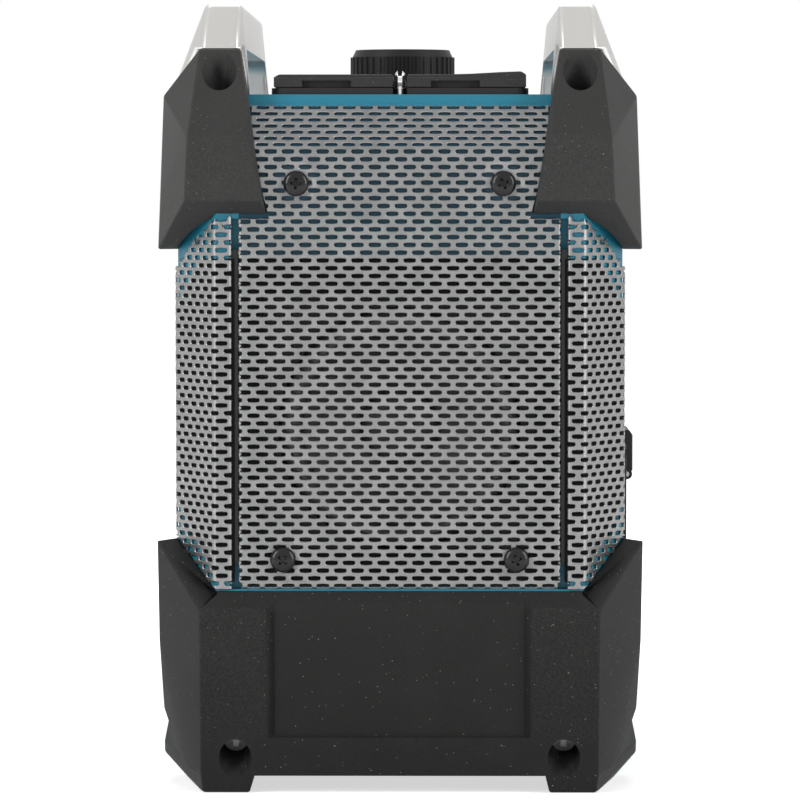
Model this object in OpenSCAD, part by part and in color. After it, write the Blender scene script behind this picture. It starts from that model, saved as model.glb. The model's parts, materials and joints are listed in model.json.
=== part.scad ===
// Jobsite radio: a tall housing with a loudspeaker behind a bent perforated grille at each end,
// rubber bumpers on every corner, two roll bars that serve as handles, and the controls on top.
// The front of the radio faces -X, its right end faces -Y, and it stands on z = 0.

/* [Housing] */
// Width of the housing, front wall to rear wall
body_w = 174; // [166:1:182]
// Distance between the faces of the two end caps
body_l = 276; // [270:1:290]
// Height of the top deck above the floor
deck_z = 270; // [266:1:276]
// Width of the flat top deck
deck_w = 124; // [122:1:128]
// Height at which the shoulder starts to slope in
shoulder_z = 236; // [228:1:240]
// Height of the housing's underside above the floor
base_z = 8; // [8:0.5:9]
// Wall of the housing and the end caps
shell_t = 3; // [2.5:0.1:3.5]
// Depth of an end cap, from its face to the joint with the housing
cap_depth = 40; // [39:1:44]
// Distance that the corner face runs back along the side
corner_run = 28; // [26:1:31]
// Distance that the corner face moves out over that run
corner_rise = 16; // [14:1:17]
// Height at which the end face bends back
bend_z = 249.5; // [247:0.5:251]
// Lean of the end face above the bend, in degrees
bend_lean = 37; // [30:1:40]
// Height of the lip over the top edge of the end grille
lip_h = 3.6; // [3:0.1:4.5]

/* [Grilles] */
// Sheet thickness of the grilles
sheet_t = 0.8; // [0.6:0.1:1.2]
// Air gap between a grille and the cap behind it
sheet_gap = 0.3; // [0.2:0.1:0.6]
// Width of the end grille
grille_w = 124.6; // [121:0.2:126]
// Height of the bottom edge of the grilles
grille_z = 78.5; // [77:0.5:84]
// Length of a slot in the sheet
slot_l = 9.6; // [7:0.1:10.5]
// Width of a slot in the sheet
slot_w = 3.2; // [2:0.1:4]
// Distance between slots along a row
slot_pitch = 13.6; // [13:0.1:16]
// Distance between rows of slots
row_pitch = 6.08; // [5.6:0.02:8]
// Width of the grooves in the cap, beside the end grille
groove_w = 4.6; // [4:0.1:5.6]
// Depth of that groove
groove_d = 4; // [3:0.5:5]
// Width of the trim strip in the groove
strip_w = 2.2; // [1.6:0.1:2.4]
// Radius of a grille screw's head
screw_head_r = 4.9; // [4:0.1:5.5]
// Radius of a grille screw's shank
screw_r = 2; // [1.6:0.1:2.4]
// Length of a grille screw's shank
screw_len = 12; // [10:0.5:14]

/* [Rubber bumpers] */
// How far the rubber stands out from the end faces
bumper_out = 7; // [6.5:0.5:8]
// How far the rubber stands out from the front and rear walls
bumper_side = 8; // [6.5:0.5:9]
// How far the upper edge of the top bumpers stands above the deck
bumper_rise = 17.6; // [14:0.2:20]
// Clearance between the rubber and what it covers
rubber_gap = 0.2; // [0.1:0.05:0.4]
// Length of a base bumper along the side
base_bumper_l = 62; // [55:1:80]
// Height of the crease at the top of the base bumper's face
base_crease_z = 71; // [68:0.5:74]
// Height of the base bumper's shoulders on the front and rear walls
base_shoulder_z = 96.5; // [92:0.5:104]
// Depth of the hollow panel in the base bumper's face
panel_d = 2.6; // [1.5:0.1:3.5]
// Width of the hollow panel
panel_w = 103; // [90:1:110]
// Radius of the bolt access holes in the top bumpers
top_hole_r = 6.7; // [6:0.1:6.9]
// Radius of the bolt access holes in the base bumpers
base_hole_r = 6.3; // [5.6:0.1:6.6]
// Height of the feet under the base bumper
foot_h = 6.5; // [5:0.1:7]

/* [Roll bars] */
// Height of the top of a roll bar
bar_z = 306; // [302:0.5:312]
// Height of the beam of a roll bar
beam_h = 18; // [14:0.5:19]
// Length of the hand gap under a roll bar
hand_gap_l = 208; // [190:1:210]
// Radius of the corners of the hand gap
hand_gap_r = 7; // [3:0.5:8]

/* [Loudspeakers] */
// Height of a loudspeaker's axis
speaker_z = 140.7; // [134:0.5:148]
// Radius of a loudspeaker's round frame
speaker_r = 52; // [46:0.5:54]
// Depth of a loudspeaker behind the cap face
speaker_depth = 52; // [44:1:60]
// Radius of the cone at its outer edge
cone_r = 37; // [32:0.5:39]
// Radius of the magnet
magnet_r = 33; // [28:0.5:36]

/* [Control deck] */
// Width of the control deck plate
panel_deck_w = 100; // [96:1:104]
// Length of the control deck plate
panel_deck_l = 248; // [240:1:250]
// Thickness of the control deck plate
deck_t = 2.5; // [2:0.1:3.2]
// Radius of the tuning knob
knob_r = 21.6; // [18:0.1:23]
// Height of the tuning knob
knob_h = 17; // [12:0.5:19]
// Number of ribs round the tuning knob
knob_ribs = 40; // [24:2:48]
// Distance of the knob's axis from the middle of the deck
knob_y = 11; // [9:0.5:13]
// Width of a push button, across the deck
button_w = 26; // [18:0.5:30]
// Length of a push button, along the deck
button_l = 11; // [9:0.5:13]
// Travel of a push button
button_travel = 1; // [0.6:0.1:1.4]
// Length of the display window
window_l = 70; // [60:1:74]
// Width of the display window
window_w = 54; // [44:1:60]

/* [Socket flaps] */
// Length of a socket flap
flap_l = 44; // [42:0.5:46]
// Thickness of a socket flap
flap_t = 5.1; // [4.6:0.1:5.6]
// Width of the channel between the flaps
channel_w = 5.6; // [5.4:0.1:6.6]
// Radius of a flap's hinge pin
flap_pin_r = 1; // [0.8:0.05:1.2]
// Radius of the line-in socket's bore
line_in_r = 1.8; // [1.6:0.05:2]

/* [Antenna] */
// Radius of the antenna's post and of its widest tube
post_r = 2; // [1.9:0.05:2.2]
// Length of the antenna's widest tube
tube_l = 80; // [70:1:82]
// Wall of an antenna tube
tube_wall = 0.4; // [0.3:0.05:0.5]

/* [Battery bay] */
// Length of the battery bay along the radio
bay_l = 108; // [90:1:112]
// Height of the battery bay
bay_h = 82; // [76:1:88]
// Depth of the battery bay
bay_d = 46; // [40:1:52]
// Height of the bay's lower wall
bay_z = 44; // [42:0.5:48]
// Thickness of the battery door
door_t = 3.4; // [3:0.1:4]
// Radius of the door's hinge pin
door_pin_r = 1.5; // [1.2:0.1:1.8]
// Width of the door's latch
latch_w = 34; // [28:1:40]

/* [Hidden] */
$fn = 48;
half_w = body_w / 2;
face_y = body_l / 2;                      // distance of the end faces from the middle
joint_y = face_y - cap_depth;             // where a cap meets the housing
flat_x = half_w - corner_rise;            // half width of the flat end face
lean_tan = tan(bend_lean);
lip_z = deck_z - lip_h;                   // underside of the lip
lip_y = face_y - (lip_z - bend_z) * lean_tan;
toe_d = 18;                               // bevel along the cap's lower front edge
toe_h = 23;
sheet_out = sheet_gap + sheet_t;          // outer face of a grille above the cap
fine = 0.01;
top_bumper_z = deck_z + bumper_rise;

teal = [0.02, 0.36, 0.47];
rubber = [0.16, 0.16, 0.16];
silver = [0.72, 0.71, 0.69];
steel = [0.66, 0.67, 0.68];
black = [0.09, 0.09, 0.09];
board_green = [0.05, 0.28, 0.14];

// ---------- shared outlines ----------

// Moves every edge of a counterclockwise outline inwards by d, or outwards where d is negative.
function inset(p, d) = let (n = len(p)) [
  for (i = [0 : n - 1])
    let (a = p[(i + n - 1) % n], b = p[i], c = p[(i + 1) % n],
         u = (b - a) / norm(b - a), v = (c - b) / norm(c - b),
         nu = [-u[1], u[0]], nv = [-v[1], v[0]])
      b + (nu + nv) * d / (1 + nu * nv)
];

// A rectangle about the origin with round corners, as points.
function round_rect(w, l, r, steps = 5) = [
  for (q = [0 : 3], s = [0 : steps])
    let (a = 90 * q + 90 * s / steps,
         cx = (q == 0 || q == 3 ? 1 : -1) * (w / 2 - r),
         cy = (q < 2 ? 1 : -1) * (l / 2 - r))
      [cx + r * cos(a), cy + r * sin(a)]
];

// The housing seen from the end: flat sides, sloping shoulders and a flat deck.
function section() = [
  [-half_w, base_z], [half_w, base_z], [half_w, shoulder_z],
  [deck_w / 2, deck_z], [-deck_w / 2, deck_z], [-half_w, shoulder_z]
];

// The right end cap seen from above.
function cap_plan(back_y) = [
  [-half_w, back_y], [-half_w, -face_y + corner_run], [-flat_x, -face_y],
  [flat_x, -face_y], [half_w, -face_y + corner_run], [half_w, back_y]
];

// The right end cap seen from the side, as [y, z]; back is where it ends.
function cap_side(back = -joint_y) = [
  [back, base_z], [back, deck_z], [-lip_y, deck_z], [-lip_y, lip_z],
  [-face_y, bend_z], [-face_y, base_z + toe_h], [-face_y + toe_d, base_z]
];

// Stands a drawing of [x, z] up and runs it along y from y0 to y1.
module along_y(y0, y1) {
  translate([0, y1, 0]) rotate([90, 0, 0]) linear_extrude(y1 - y0) children();
}

// Stands a drawing of [y, z] up and runs it along x from x0 to x1.
module along_x(x0, x1) {
  translate([x0, 0, 0]) rotate([90, 0, 90]) linear_extrude(x1 - x0) children();
}

// A block given by its two corners.
module block(a, b) {
  translate(a) cube(b - a);
}

module left_end() {
  mirror([0, 1, 0]) children();
}

module rear_side() {
  mirror([1, 0, 0]) children();
}

module convex(points) {
  hull() polyhedron(points, [[for (i = [0 : len(points) - 1]) i]]);
}

// The space that the right cap fills, grown by g; it runs a little past the joint.
module cap_envelope(g) {
  intersection() {
    translate([0, 0, base_z - g]) linear_extrude(deck_z - base_z + 2 * g)
      polygon(inset(cap_plan(-joint_y + 1), -g));
    along_x(-half_w - g, half_w + g) polygon(inset(cap_side(-joint_y + 1), -g));
    along_y(-face_y - g, -joint_y + 1 + g) polygon(inset(section(), -g));
  }
}

// ---------- housing ----------

tray_w = 88;
tray_l = 186;
tray_z = deck_z - 20;
tray_wall = 2;
tray_fit = 0.3;
badge_w = 92;
badge_h = 26;
badge_z = 168;
badge_d = 1;
rib_count = 5;
rib_pitch = 13;
rib_z = 40;
rib_len = 150;
rib_depth = 1;
rib_h = 4;
boss_r = 4.4;
boss_len = 14;
screw_fit = 0.1;

bay_fit = 0.3;
bay_wall = 2;

module main_housing() color(teal) difference() {
  union() {
    difference() {
      along_y(-joint_y, joint_y) polygon(section());
      along_y(-joint_y - 1, joint_y + 1) polygon(inset(section(), shell_t));
    }
    housing_knuckles();
    // keeper for the door's latch
    block([half_w - fine, -latch_w / 2 + 1, door_high + keeper_gap],
          [door_x1, latch_w / 2 - 1, latch_top - 0.4]);
  }
  translate([hinge_x, -bay_l, door_hinge_z]) rotate([-90, 0, 0])
    cylinder(r = door_pin_r + 0.02, h = 2 * bay_l);
  // opening for the control deck's tray
  block([-tray_w / 2, -tray_l / 2, deck_z - 2 * shell_t], [tray_w / 2, tray_l / 2, deck_z + 1]);
  // opening for the battery bay
  block([half_w - 2 * shell_t, -bay_l / 2, bay_z], [half_w + 1, bay_l / 2, bay_z + bay_h]);
  // shallow bare field on the front wall
  along_x(-half_w - 1, -half_w + badge_d)
    translate([0, badge_z]) polygon(round_rect(badge_w, badge_h, 6));
  // grooves along the lower front wall
  for (i = [0 : rib_count - 1])
    block([-half_w - 1, -rib_len / 2, rib_z + i * rib_pitch],
          [-half_w + rib_depth, rib_len / 2, rib_z + i * rib_pitch + rib_h]);
}

window_half = 60;     // half width of the loudspeaker window at its middle
window_top = 51;      // its half height
window_bow = 7;       // how much narrower the window is at its top and bottom
window_steps = 10;
window_skin = 1;      // how far a cut runs past the wall that it opens

// The loudspeaker window: straight top and bottom, bowed sides.
function speaker_window() = let (n = window_steps) concat(
  [for (i = [0 : n]) let (t = -1 + 2 * i / n) [window_half - window_bow * t * t, window_top * t]],
  [for (i = [0 : n]) let (t = 1 - 2 * i / n) [-window_half + window_bow * t * t, window_top * t]]
);

upper_screw = [40, 235.4];    // x and z of the upper grille screws
lower_screw = [45.2, 90];     // and of the lower ones
module at_screws() {
  for (p = [upper_screw, lower_screw], s = [-1, 1]) translate([s * p[0], -face_y, p[1]]) children();
}

strip_low = 89;
strip_high = 210;
corner_window_low = 98;
corner_window_high = 196;
rib_wall = 2;         // plastic beside and behind a groove

// The plain shell of the right cap, open at the back.
module cap_shell() {
  difference() {
    cap_outer(0);
    cap_outer(shell_t);
    along_y(-joint_y - shell_t - 1, -joint_y + 1) polygon(inset(section(), shell_t));
    along_y(-face_y - 1, -face_y + shell_t + window_skin)
      translate([0, speaker_z]) polygon(speaker_window());
    for (s = [-1, 1]) translate([s * (flat_x + corner_rise / 2), 0, 0])
      block([-corner_rise, -face_y + groove_d + rib_wall + 1, corner_window_low],
            [corner_rise, -face_y + corner_run - 3, corner_window_high]);
  }
}

module bolt_boss() {
  translate([0, 0, bolt_seat - bolt_boss_len]) cylinder(r = bolt_boss_r, h = 2 * bolt_boss_len);
}

module right_end_cap() color(teal) difference() {
  union() {
    cap_shell();
    // ribs behind the grooves
    for (s = [-1, 1]) translate([s * groove_x(), 0, 0])
      block([-groove_w / 2 - rib_wall, -face_y + shell_t - fine, grille_z - rib_wall],
            [groove_w / 2 + rib_wall, -face_y + groove_d + rib_wall, tip_z]);
    at_screws() rotate([-90, 0, 0]) cylinder(r = boss_r, h = boss_len);
    intersection() {
      cap_outer(0);
      union() {
        at_base_bolts() bolt_boss();
        at_top_bolts() bolt_boss();
      }
    }
  }
  for (s = [-1, 1]) translate([s * groove_x(), 0, 0])
    block([-groove_w / 2, -face_y - 1, grille_z], [groove_w / 2, -face_y + groove_d, tip_z - 2]);
  at_screws() translate([0, -1, 0]) rotate([-90, 0, 0]) cylinder(r = screw_r + screw_fit, h = boss_len + 2);
  at_base_bolts() cylinder(r = bolt_r + screw_fit, h = 60);
  at_top_bolts() cylinder(r = bolt_r + screw_fit, h = 60);
  at_bar_screws() translate([0, 0, -6]) cylinder(r = bolt_r + screw_fit, h = 20);
}

// The cap's outer form, with every wall moved in by d.
module cap_outer(d) {
  intersection() {
    translate([0, 0, base_z + d]) linear_extrude(deck_z - base_z - 2 * d)
      polygon(inset(cap_plan(-joint_y), d));
    along_x(-half_w, half_w) polygon(inset(cap_side(), d));
    along_y(-face_y, -joint_y) polygon(inset(section(), d));
  }
}

// ---------- grilles ----------

corner_flange = 6.2;  // width of the corner grille's part that faces the end

// The groove lies behind the space between the two sheets.
function groove_x() = (grille_w / 2 + flat_x - corner_flange) / 2;

tip_z = 224;          // where the top bumpers' inner tips end
tip_x = 50.4;         // half width of the grille between the tips
neck_x = 57.6;        // half width of the grille between the bumpers

// The flat part of the end grille, as [x, z].
function grille_flat() = [
  [-grille_w / 2, grille_z], [grille_w / 2, grille_z], [grille_w / 2, tip_z - 2],
  [tip_x, tip_z - 2], [neck_x, bend_z], [-neck_x, bend_z], [-tip_x, tip_z - 2],
  [-grille_w / 2, tip_z - 2]
];

function grille_half(z) = z < tip_z - 2 - slot_w ? grille_w / 2
  : tip_x + (neck_x - tip_x) * max(0, z - tip_z + 2) / (bend_z - tip_z + 2);

// A slot with pointed ends.
module slot() {
  polygon([
    [-slot_l / 2, 0], [-slot_l / 2 + slot_w / 2, -slot_w / 2], [slot_l / 2 - slot_w / 2, -slot_w / 2],
    [slot_l / 2, 0], [slot_l / 2 - slot_w / 2, slot_w / 2], [-slot_l / 2 + slot_w / 2, slot_w / 2]
  ]);
}

function clear_of_screws(x, z) = min([
  for (p = [upper_screw, lower_screw], s = [-1, 1]) norm([s * p[0] - x, p[1] - z])
]) > slot_l / 2 + screw_r + 1.4;

margin = 1.6;         // metal left between a slot and the edge of the sheet
rows_flat = floor((bend_z - grille_z - 2 * margin) / row_pitch);
row_start = grille_z + margin + slot_w / 2;
cols = ceil(grille_w / slot_pitch / 2) + 1;
slope_len = (lip_z - bend_z) / cos(bend_lean);
rows_slope = floor((slope_len - 1.5 * margin - slot_w) / row_pitch);

// Rows of slots, each shifted by half a pitch from the one below, where the sheet has room for them.
module slots_flat() {
  for (j = [0 : rows_flat - 1], i = [-cols : cols])
    let (x = (i + (j % 2) / 2) * slot_pitch, z = row_start + j * row_pitch)
      if (abs(x) + slot_l / 2 + margin < min(grille_half(z), grille_half(z + slot_w))
          && z + slot_w / 2 + margin < bend_z && clear_of_screws(x, z))
        translate([x, z]) slot();
}

module slots_slope() {
  for (j = [0 : rows_slope], i = [-cols : cols])
    let (x = (i + ((j + rows_flat) % 2) / 2) * slot_pitch, v = 2 * margin + slot_w / 2 + j * row_pitch)
      if (abs(x) + slot_l / 2 + margin < neck_x && v + slot_w / 2 + margin < slope_len)
        translate([x, v]) slot();
}

module right_end_grille() color(steel) {
  outer = face_y + sheet_out;
  bend_out = sheet_out * tan(bend_lean / 2);
  bend_in = sheet_gap * tan(bend_lean / 2);
  difference() {
    along_y(-outer, -outer + sheet_t) difference() {
      polygon(grille_flat());
      slots_flat();
    }
    at_screws() translate([0, -5, 0]) rotate([-90, 0, 0]) cylinder(r = screw_r + 0.4, h = 10);
  }
  // the bend, as a short solid strip
  along_x(-neck_x, neck_x) polygon([
    [-outer, bend_z - fine], [-outer, bend_z + bend_out],
    [-outer + (bend_out + margin) * sin(bend_lean), bend_z + bend_out + margin * cos(bend_lean)],
    [-outer + sheet_t + margin * sin(bend_lean), bend_z + bend_in + margin * cos(bend_lean)],
    [-outer + sheet_t, bend_z + bend_in], [-outer + sheet_t, bend_z - fine]
  ]);
  // the part that leans back
  translate([0, -outer, bend_z + bend_out]) rotate([90 - bend_lean, 0, 0]) translate([0, 0, -sheet_t])
    linear_extrude(sheet_t) difference() {
      translate([-neck_x, margin / 2]) square([2 * neck_x, slope_len - bend_out - margin / 2 - 0.6]);
      slots_slope();
    }
  // side edges folded back into the grooves
  for (s = [-1, 1]) translate([s * (grille_w / 2 - sheet_t / 2), 0, 0])
    block([-sheet_t / 2, -outer + sheet_t - fine, grille_z],
          [sheet_t / 2, -outer + sheet_t + 2.4, tip_z - 2]);
}

corner_wrap = 8;      // and of its part along the front wall
corner_len = norm([corner_run, corner_rise]);
corner_angle = atan2(corner_run, corner_rise);
corner_top = [[-flat_x, tip_z - 2.4], [-78.5, 215], [-82.8, 209.5], [-half_w - 2, 201.5]];
corner_rows = floor((corner_window_high - corner_window_low + 30) / row_pitch);

// A strip of sheet that follows the cap's plan round the front right corner.
module front_right_corner_grille() color(steel) difference() {
  intersection() {
    translate([0, 0, grille_z]) linear_extrude(tip_z - grille_z) intersection() {
      difference() {
        polygon(inset(cap_plan(-joint_y), -sheet_out));
        polygon(inset(cap_plan(-joint_y), -sheet_gap));
      }
      translate([-half_w - 5, -face_y - 5])
        square([half_w + 5 - (flat_x - corner_flange), corner_run + 5 + corner_wrap - 4]);
    }
    along_y(-face_y - 5, -joint_y) polygon(concat(
      [[-flat_x + corner_flange, grille_z], [-flat_x + corner_flange, tip_z - 2]], corner_top,
      [[-half_w - 2, base_shoulder_z + 2], [-flat_x, grille_z]]
    ));
  }
  for (j = [0 : corner_rows - 1], i = [0 : 2])
    let (u = 7 + (i + (j % 2) / 2) * slot_pitch * 0.92, z = corner_window_low - 4 + j * row_pitch)
      if (u + slot_l / 2 + 1.2 < corner_len)
        translate([-flat_x, -face_y, z]) rotate([0, 0, -corner_angle]) translate([-u, 0, 0])
          rotate([90, 0, 0]) linear_extrude(6, center = true) slot();
}

module right_grille_strips() color(black)
  for (s = [-1, 1]) translate([s * groove_x(), 0, 0])
    block([-strip_w / 2, -face_y, strip_low], [strip_w / 2, -face_y + groove_d, strip_high]);

// A pan head with a cross recess on a plain shank, pointing along +z into the cap.
module grille_screw() {
  difference() {
    union() {
      rotate_extrude() polygon([[0, 0], [screw_head_r, 0], [screw_head_r - 0.3, -1.4],
        [screw_head_r - 1.6, -2.6], [screw_head_r - 3.2, -3.1], [0, -3.2]]);
      cylinder(r = screw_r, h = screw_len);
    }
    for (a = [0, 90]) rotate([0, 0, a]) block([-0.5, -2.2, -4], [0.5, 2.2, -1.8]);
  }
}

module grille_screws() color(black) for (e = [0, 1]) mirror([0, e, 0])
  at_screws() translate([0, -sheet_out - 0.1, 0]) rotate([-90, 0, 0]) grille_screw();

// ---------- rubber bumpers ----------

side_x = half_w + bumper_side;    // outermost rubber on the front and rear
out_y = face_y + bumper_out;      // outermost rubber on the ends
slope_z = deck_z - 17.4;            // where a top bumper's face starts to lean back
slope_run = 19.4;                 // how far it leans back up to its upper edge
slope_y = out_y - slope_run;      // distance of its upper edge from the middle
slope_tan = slope_run / (top_bumper_z - slope_z);
leg_y = slope_y - 11.6;           // front of a roll bar's leg
bolt_r = 2.4;
bolt_head_r = 4.2;
bolt_head_h = 3;
bolt_boss_r = 4.8;
bolt_boss_len = 12;
bolt_seat = 15;                   // from a hole's mouth to where its rubber ends
top_bolt_x = 69.8;
top_hole_z = top_bumper_z - 8.8;
base_bolt_x = 63.6;
base_hole_z = 13.4;
top_hole_tilt = 67;
base_hole_tilt = atan(toe_d / toe_h);
top_bore = 14.4;                    // depth of the wide part of a top hole
base_bore = 11.5;                 // and of a base hole
arc_r = 29.4;                     // arc under a top bumper
arc_centre = [-62, tip_z - arc_r];

// Puts a piece at the mouth of each hole of the right end, with +z pointing in along the bolt.
module at_top_bolts() {
  for (s = [0, 1]) mirror([s, 0, 0])
    translate([-top_bolt_x, -out_y + (top_hole_z - slope_z) * slope_tan, top_hole_z])
      rotate([-90 - top_hole_tilt, 0, 0]) children();
}

module at_base_bolts() {
  for (s = [0, 1]) mirror([s, 0, 0])
    translate([-base_bolt_x, -out_y + 1.7, base_hole_z]) rotate([-90 + base_hole_tilt, 0, 0]) children();
}

top_edge_in = 62;                 // half width between the bumpers' upper edges
top_edge_out = 77.7;
bumper_end = -joint_y + 4;        // where a top bumper ends along the side
bumper_low = tip_z - 14.2;          // and its lower edge there

// The rubber of the front right top corner before what it covers is cut away.
module top_bumper_body() {
  convex([
    [-top_edge_out, -slope_y, top_bumper_z], [-top_edge_in, -slope_y, top_bumper_z],
    [-59, -out_y + (deck_z - slope_z) * slope_tan, deck_z],
    [-81.7, -out_y, slope_z], [-59, -out_y, slope_z],
    [-82.9, -out_y, tip_z + 4.8], [-53, -out_y, tip_z + 4.8],
    [-tip_x - 1.2, -face_y - 1, tip_z], [-tip_x - 1.2, -face_y + 12, tip_z],
    [-59, -leg_y + 4, deck_z - 1.6],
    [-side_x + 0.5, -face_y + 22, bumper_low], [-side_x + 1, bumper_end, bumper_low],
    [-side_x + 2, -face_y + 18, shoulder_z - 4], [-side_x + 2.1, -face_y + 26, slope_z - 0.6],
    [-side_x + 2.1, bumper_end, slope_z - 0.6],
    [-side_x + 2.6, -face_y + 26, deck_z - 0.3], [-side_x + 2.6, bumper_end + 4, deck_z - 0.3],
    [-top_edge_out, -leg_y + 4, top_bumper_z], [-top_edge_in, -leg_y + 4, top_bumper_z],
    [-60, bumper_end + 4, bumper_low]
  ]);
}

module front_right_top_bumper() color(rubber) difference() {
  top_bumper_body();
  cap_envelope(rubber_gap);
  along_y(-joint_y - 1, 0) polygon(inset(section(), -rubber_gap));
  bar_envelope(rubber_gap);
  // the arched lower edge
  along_y(-out_y - 1, -joint_y + 10) {
    translate(arc_centre) circle(r = arc_r);
    translate(arc_centre) square([arc_r, arc_r]);
  }
  // room for the end grille's narrow upper part
  intersection() {
    cap_envelope(sheet_out + rubber_gap);
    along_y(-out_y, -joint_y) polygon([
      [-tip_x - 0.4, tip_z - 3], [-neck_x - 0.4, bend_z], [-neck_x - 0.4, top_bumper_z],
      [0, top_bumper_z], [0, tip_z - 3]]);
  }
  block([-tip_x - 1, -out_y - 1, tip_z - 1], [0, -face_y + 30, tip_z + 80]);
  at_top_bolts() {
    translate([0, 0, -20]) cylinder(r = top_hole_r, h = 20 + top_bore);
    cylinder(r = bolt_r + screw_fit, h = 60);
  }
}

// A socket-head bolt with its head's underside at z = 0.
module bolt(len) {
  translate([0, 0, -bolt_head_h]) difference() {
    cylinder(r = bolt_head_r, h = bolt_head_h);
    translate([0, 0, -1]) cylinder(r = 2.2, h = bolt_head_h, $fn = 6);
  }
  translate([0, 0, -fine]) cylinder(r = bolt_r, h = len);
}

module top_bumper_bolts() color(black) for (e = [0, 1]) mirror([0, e, 0])
  at_top_bolts() translate([0, 0, top_bore]) bolt(18.6);

module base_bumper_bolts() color(black) for (e = [0, 1]) mirror([0, e, 0])
  at_base_bolts() translate([0, 0, base_bore]) bolt(14);

foot_in = 58;        // inner edge of a foot
foot_out = 76;       // outer edge of its front end
face_x = 77.3;       // half width of the base bumper's flat face
lower_z = 29.5;      // where the face starts to slope in towards the floor
lower_in = 2.6;
corner_y = out_y - 27;   // where the corner face of the bumper meets its side

// The base bumper's outer form: one block across the end, two shoulders and two feet.
module base_bumper_body() {
  back = -face_y + base_bumper_l;
  waist_z = base_crease_z - 14;
  union() {
    convex([for (s = [-1, 1]) each [
      [s * face_x, -out_y, base_crease_z], [s * (face_x - 0.4), -out_y, lower_z],
      [s * (flat_x - 0.2), -face_y, grille_z - 0.4], [s * (face_x - 0.5), -out_y + lower_in, foot_h],
      [s * (side_x - 0.8), -corner_y, waist_z], [s * (side_x - 2.2), -corner_y + 7, lower_z],
      [s * (side_x - 0.8), back, waist_z], [s * (side_x - 2.2), back, lower_z],
      [s * 86, -corner_y - 6, 12.5], [s * 86, back, 12.5],
      [s * 82, -corner_y - 14, foot_h + 1], [s * 82, back, foot_h],
      [s * (flat_x - 0.2), back, grille_z - 0.4]]]);
    for (s = [-1, 1]) {
      convex([
        [s * face_x, -out_y, base_crease_z], [s * (face_x - 0.4), -out_y, lower_z],
        [s * (flat_x - 0.2), -face_y, grille_z - 0.4],
        [s * (side_x - 0.1), -corner_y, base_shoulder_z - 0.6],
        [s * half_w, -face_y + corner_run, base_shoulder_z],
        [s * (side_x - 0.1), back + 8, base_shoulder_z - 7], [s * half_w, back + 8, base_shoulder_z - 6],
        [s * (side_x - 0.8), -corner_y, waist_z], [s * (side_x - 0.8), back, waist_z],
        [s * (side_x - 2.2), back - 4, lower_z + 8], [s * flat_x, back - 4, lower_z + 8]]);
      // a foot, wider towards the middle of the radio
      convex([
        [s * foot_in, -out_y + 2.8, 0], [s * foot_out, -out_y + 2.8, 0],
        [s * foot_in, back - 14, 0], [s * 84, -out_y + 50, 0], [s * 84, back - 8, 0],
        [s * (foot_in - 1.6), -out_y + lower_in, foot_h], [s * (face_x - 0.5), -out_y + lower_in, foot_h],
        [s * (side_x - 2), -corner_y + 15, 11.5], [s * (side_x - 2), back - 4, 11.5],
        [s * (side_x - 2), -corner_y + 15, 16], [s * (side_x - 2), back - 4, 16],
        [s * (side_x - 4), -corner_y + 13, 26], [s * (side_x - 4), back - 4, 26],
        [s * (foot_in + 6), -out_y + 14, 26], [s * (foot_in + 6), back - 4, 26],
        [s * (foot_in - 1.6), back - 8, foot_h]]);
    }
  }
}

panel_low = 21.5;
panel_high = 77;
panel_fillet = 3.6;

module right_base_bumper() color(rubber) difference() {
  base_bumper_body();
  cap_envelope(rubber_gap);
  along_y(-joint_y - 1, 0) polygon(inset(section(), -rubber_gap));
  // the hollow panel, with a round fillet down each side
  block([-panel_w / 2 + panel_fillet, -out_y - 1, panel_low],
        [panel_w / 2 - panel_fillet, -out_y + panel_d, panel_high + 8]);
  for (s = [-1, 1]) translate([s * (panel_w / 2 - panel_fillet), -out_y + panel_d - panel_fillet, panel_low])
    cylinder(r = panel_fillet, h = panel_high - panel_low + 8);
  at_base_bolts() {
    translate([0, 0, -20]) cylinder(r = base_hole_r, h = 20 + base_bore);
    cylinder(r = bolt_r + screw_fit, h = 60);
  }
}

// ---------- roll bars ----------

bar_in = 58.6;        // inner face of a bar at the deck
bar_top_in = 62;      // inner edge of its top
bar_top_out = 76;     // outer edge of its top
bar_side = 91.2;      // outer face of its legs
bar_end_y = slope_y - (bar_z - top_bumper_z);
bar_seat = 0.1;       // clearance between a leg and the shoulder
bar_screw_x = 72;

module bar_body(g) {
  convex([for (s = [-1, 1]) each [
    [-bar_top_in + g, s * (bar_end_y + g), bar_z + g], [-bar_top_out - g, s * (bar_end_y + g), bar_z + g],
    [-bar_top_in + g, s * (slope_y - 1.2 + g), top_bumper_z + 0.3 - g],
    [-top_edge_out + 0.4 - g, s * (slope_y - 1.2 + g), top_bumper_z + 0.3 - g],
    [-bar_side - g, s * (face_y - 28), deck_z - 4.4], [-bar_side - g, s * (joint_y + 2), deck_z - 20],
    [-bar_in + g, s * (leg_y + g), deck_z - 2], [-half_w + 7, s * (leg_y + g), shoulder_z + 8]]]);
}

// The space of the front roll bar, grown by g: the beam above, the legs behind the rubber.
module bar_envelope(g) {
  difference() {
    bar_body(g);
    for (s = [0, 1]) mirror([0, s, 0])
      block([-side_x - 5, -out_y - 5, 200], [0, -leg_y - g, top_bumper_z + 0.3 - g]);
  }
}

// Puts a piece where each screw of the right end meets the inside of the shoulder, +z pointing out.
module at_bar_screws() {
  lean = atan2(deck_z - shoulder_z, half_w - deck_w / 2);
  drop = (bar_screw_x - deck_w / 2) * tan(lean) + shell_t / cos(lean);
  for (s = [0, 1]) mirror([s, 0, 0])
    translate([-bar_screw_x, -leg_y + 5, deck_z - drop]) rotate([0, -lean, 0]) children();
}

module roll_bar_screws() color(steel) for (e = [0, 1]) mirror([0, e, 0])
  at_bar_screws() bolt(13);

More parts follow.
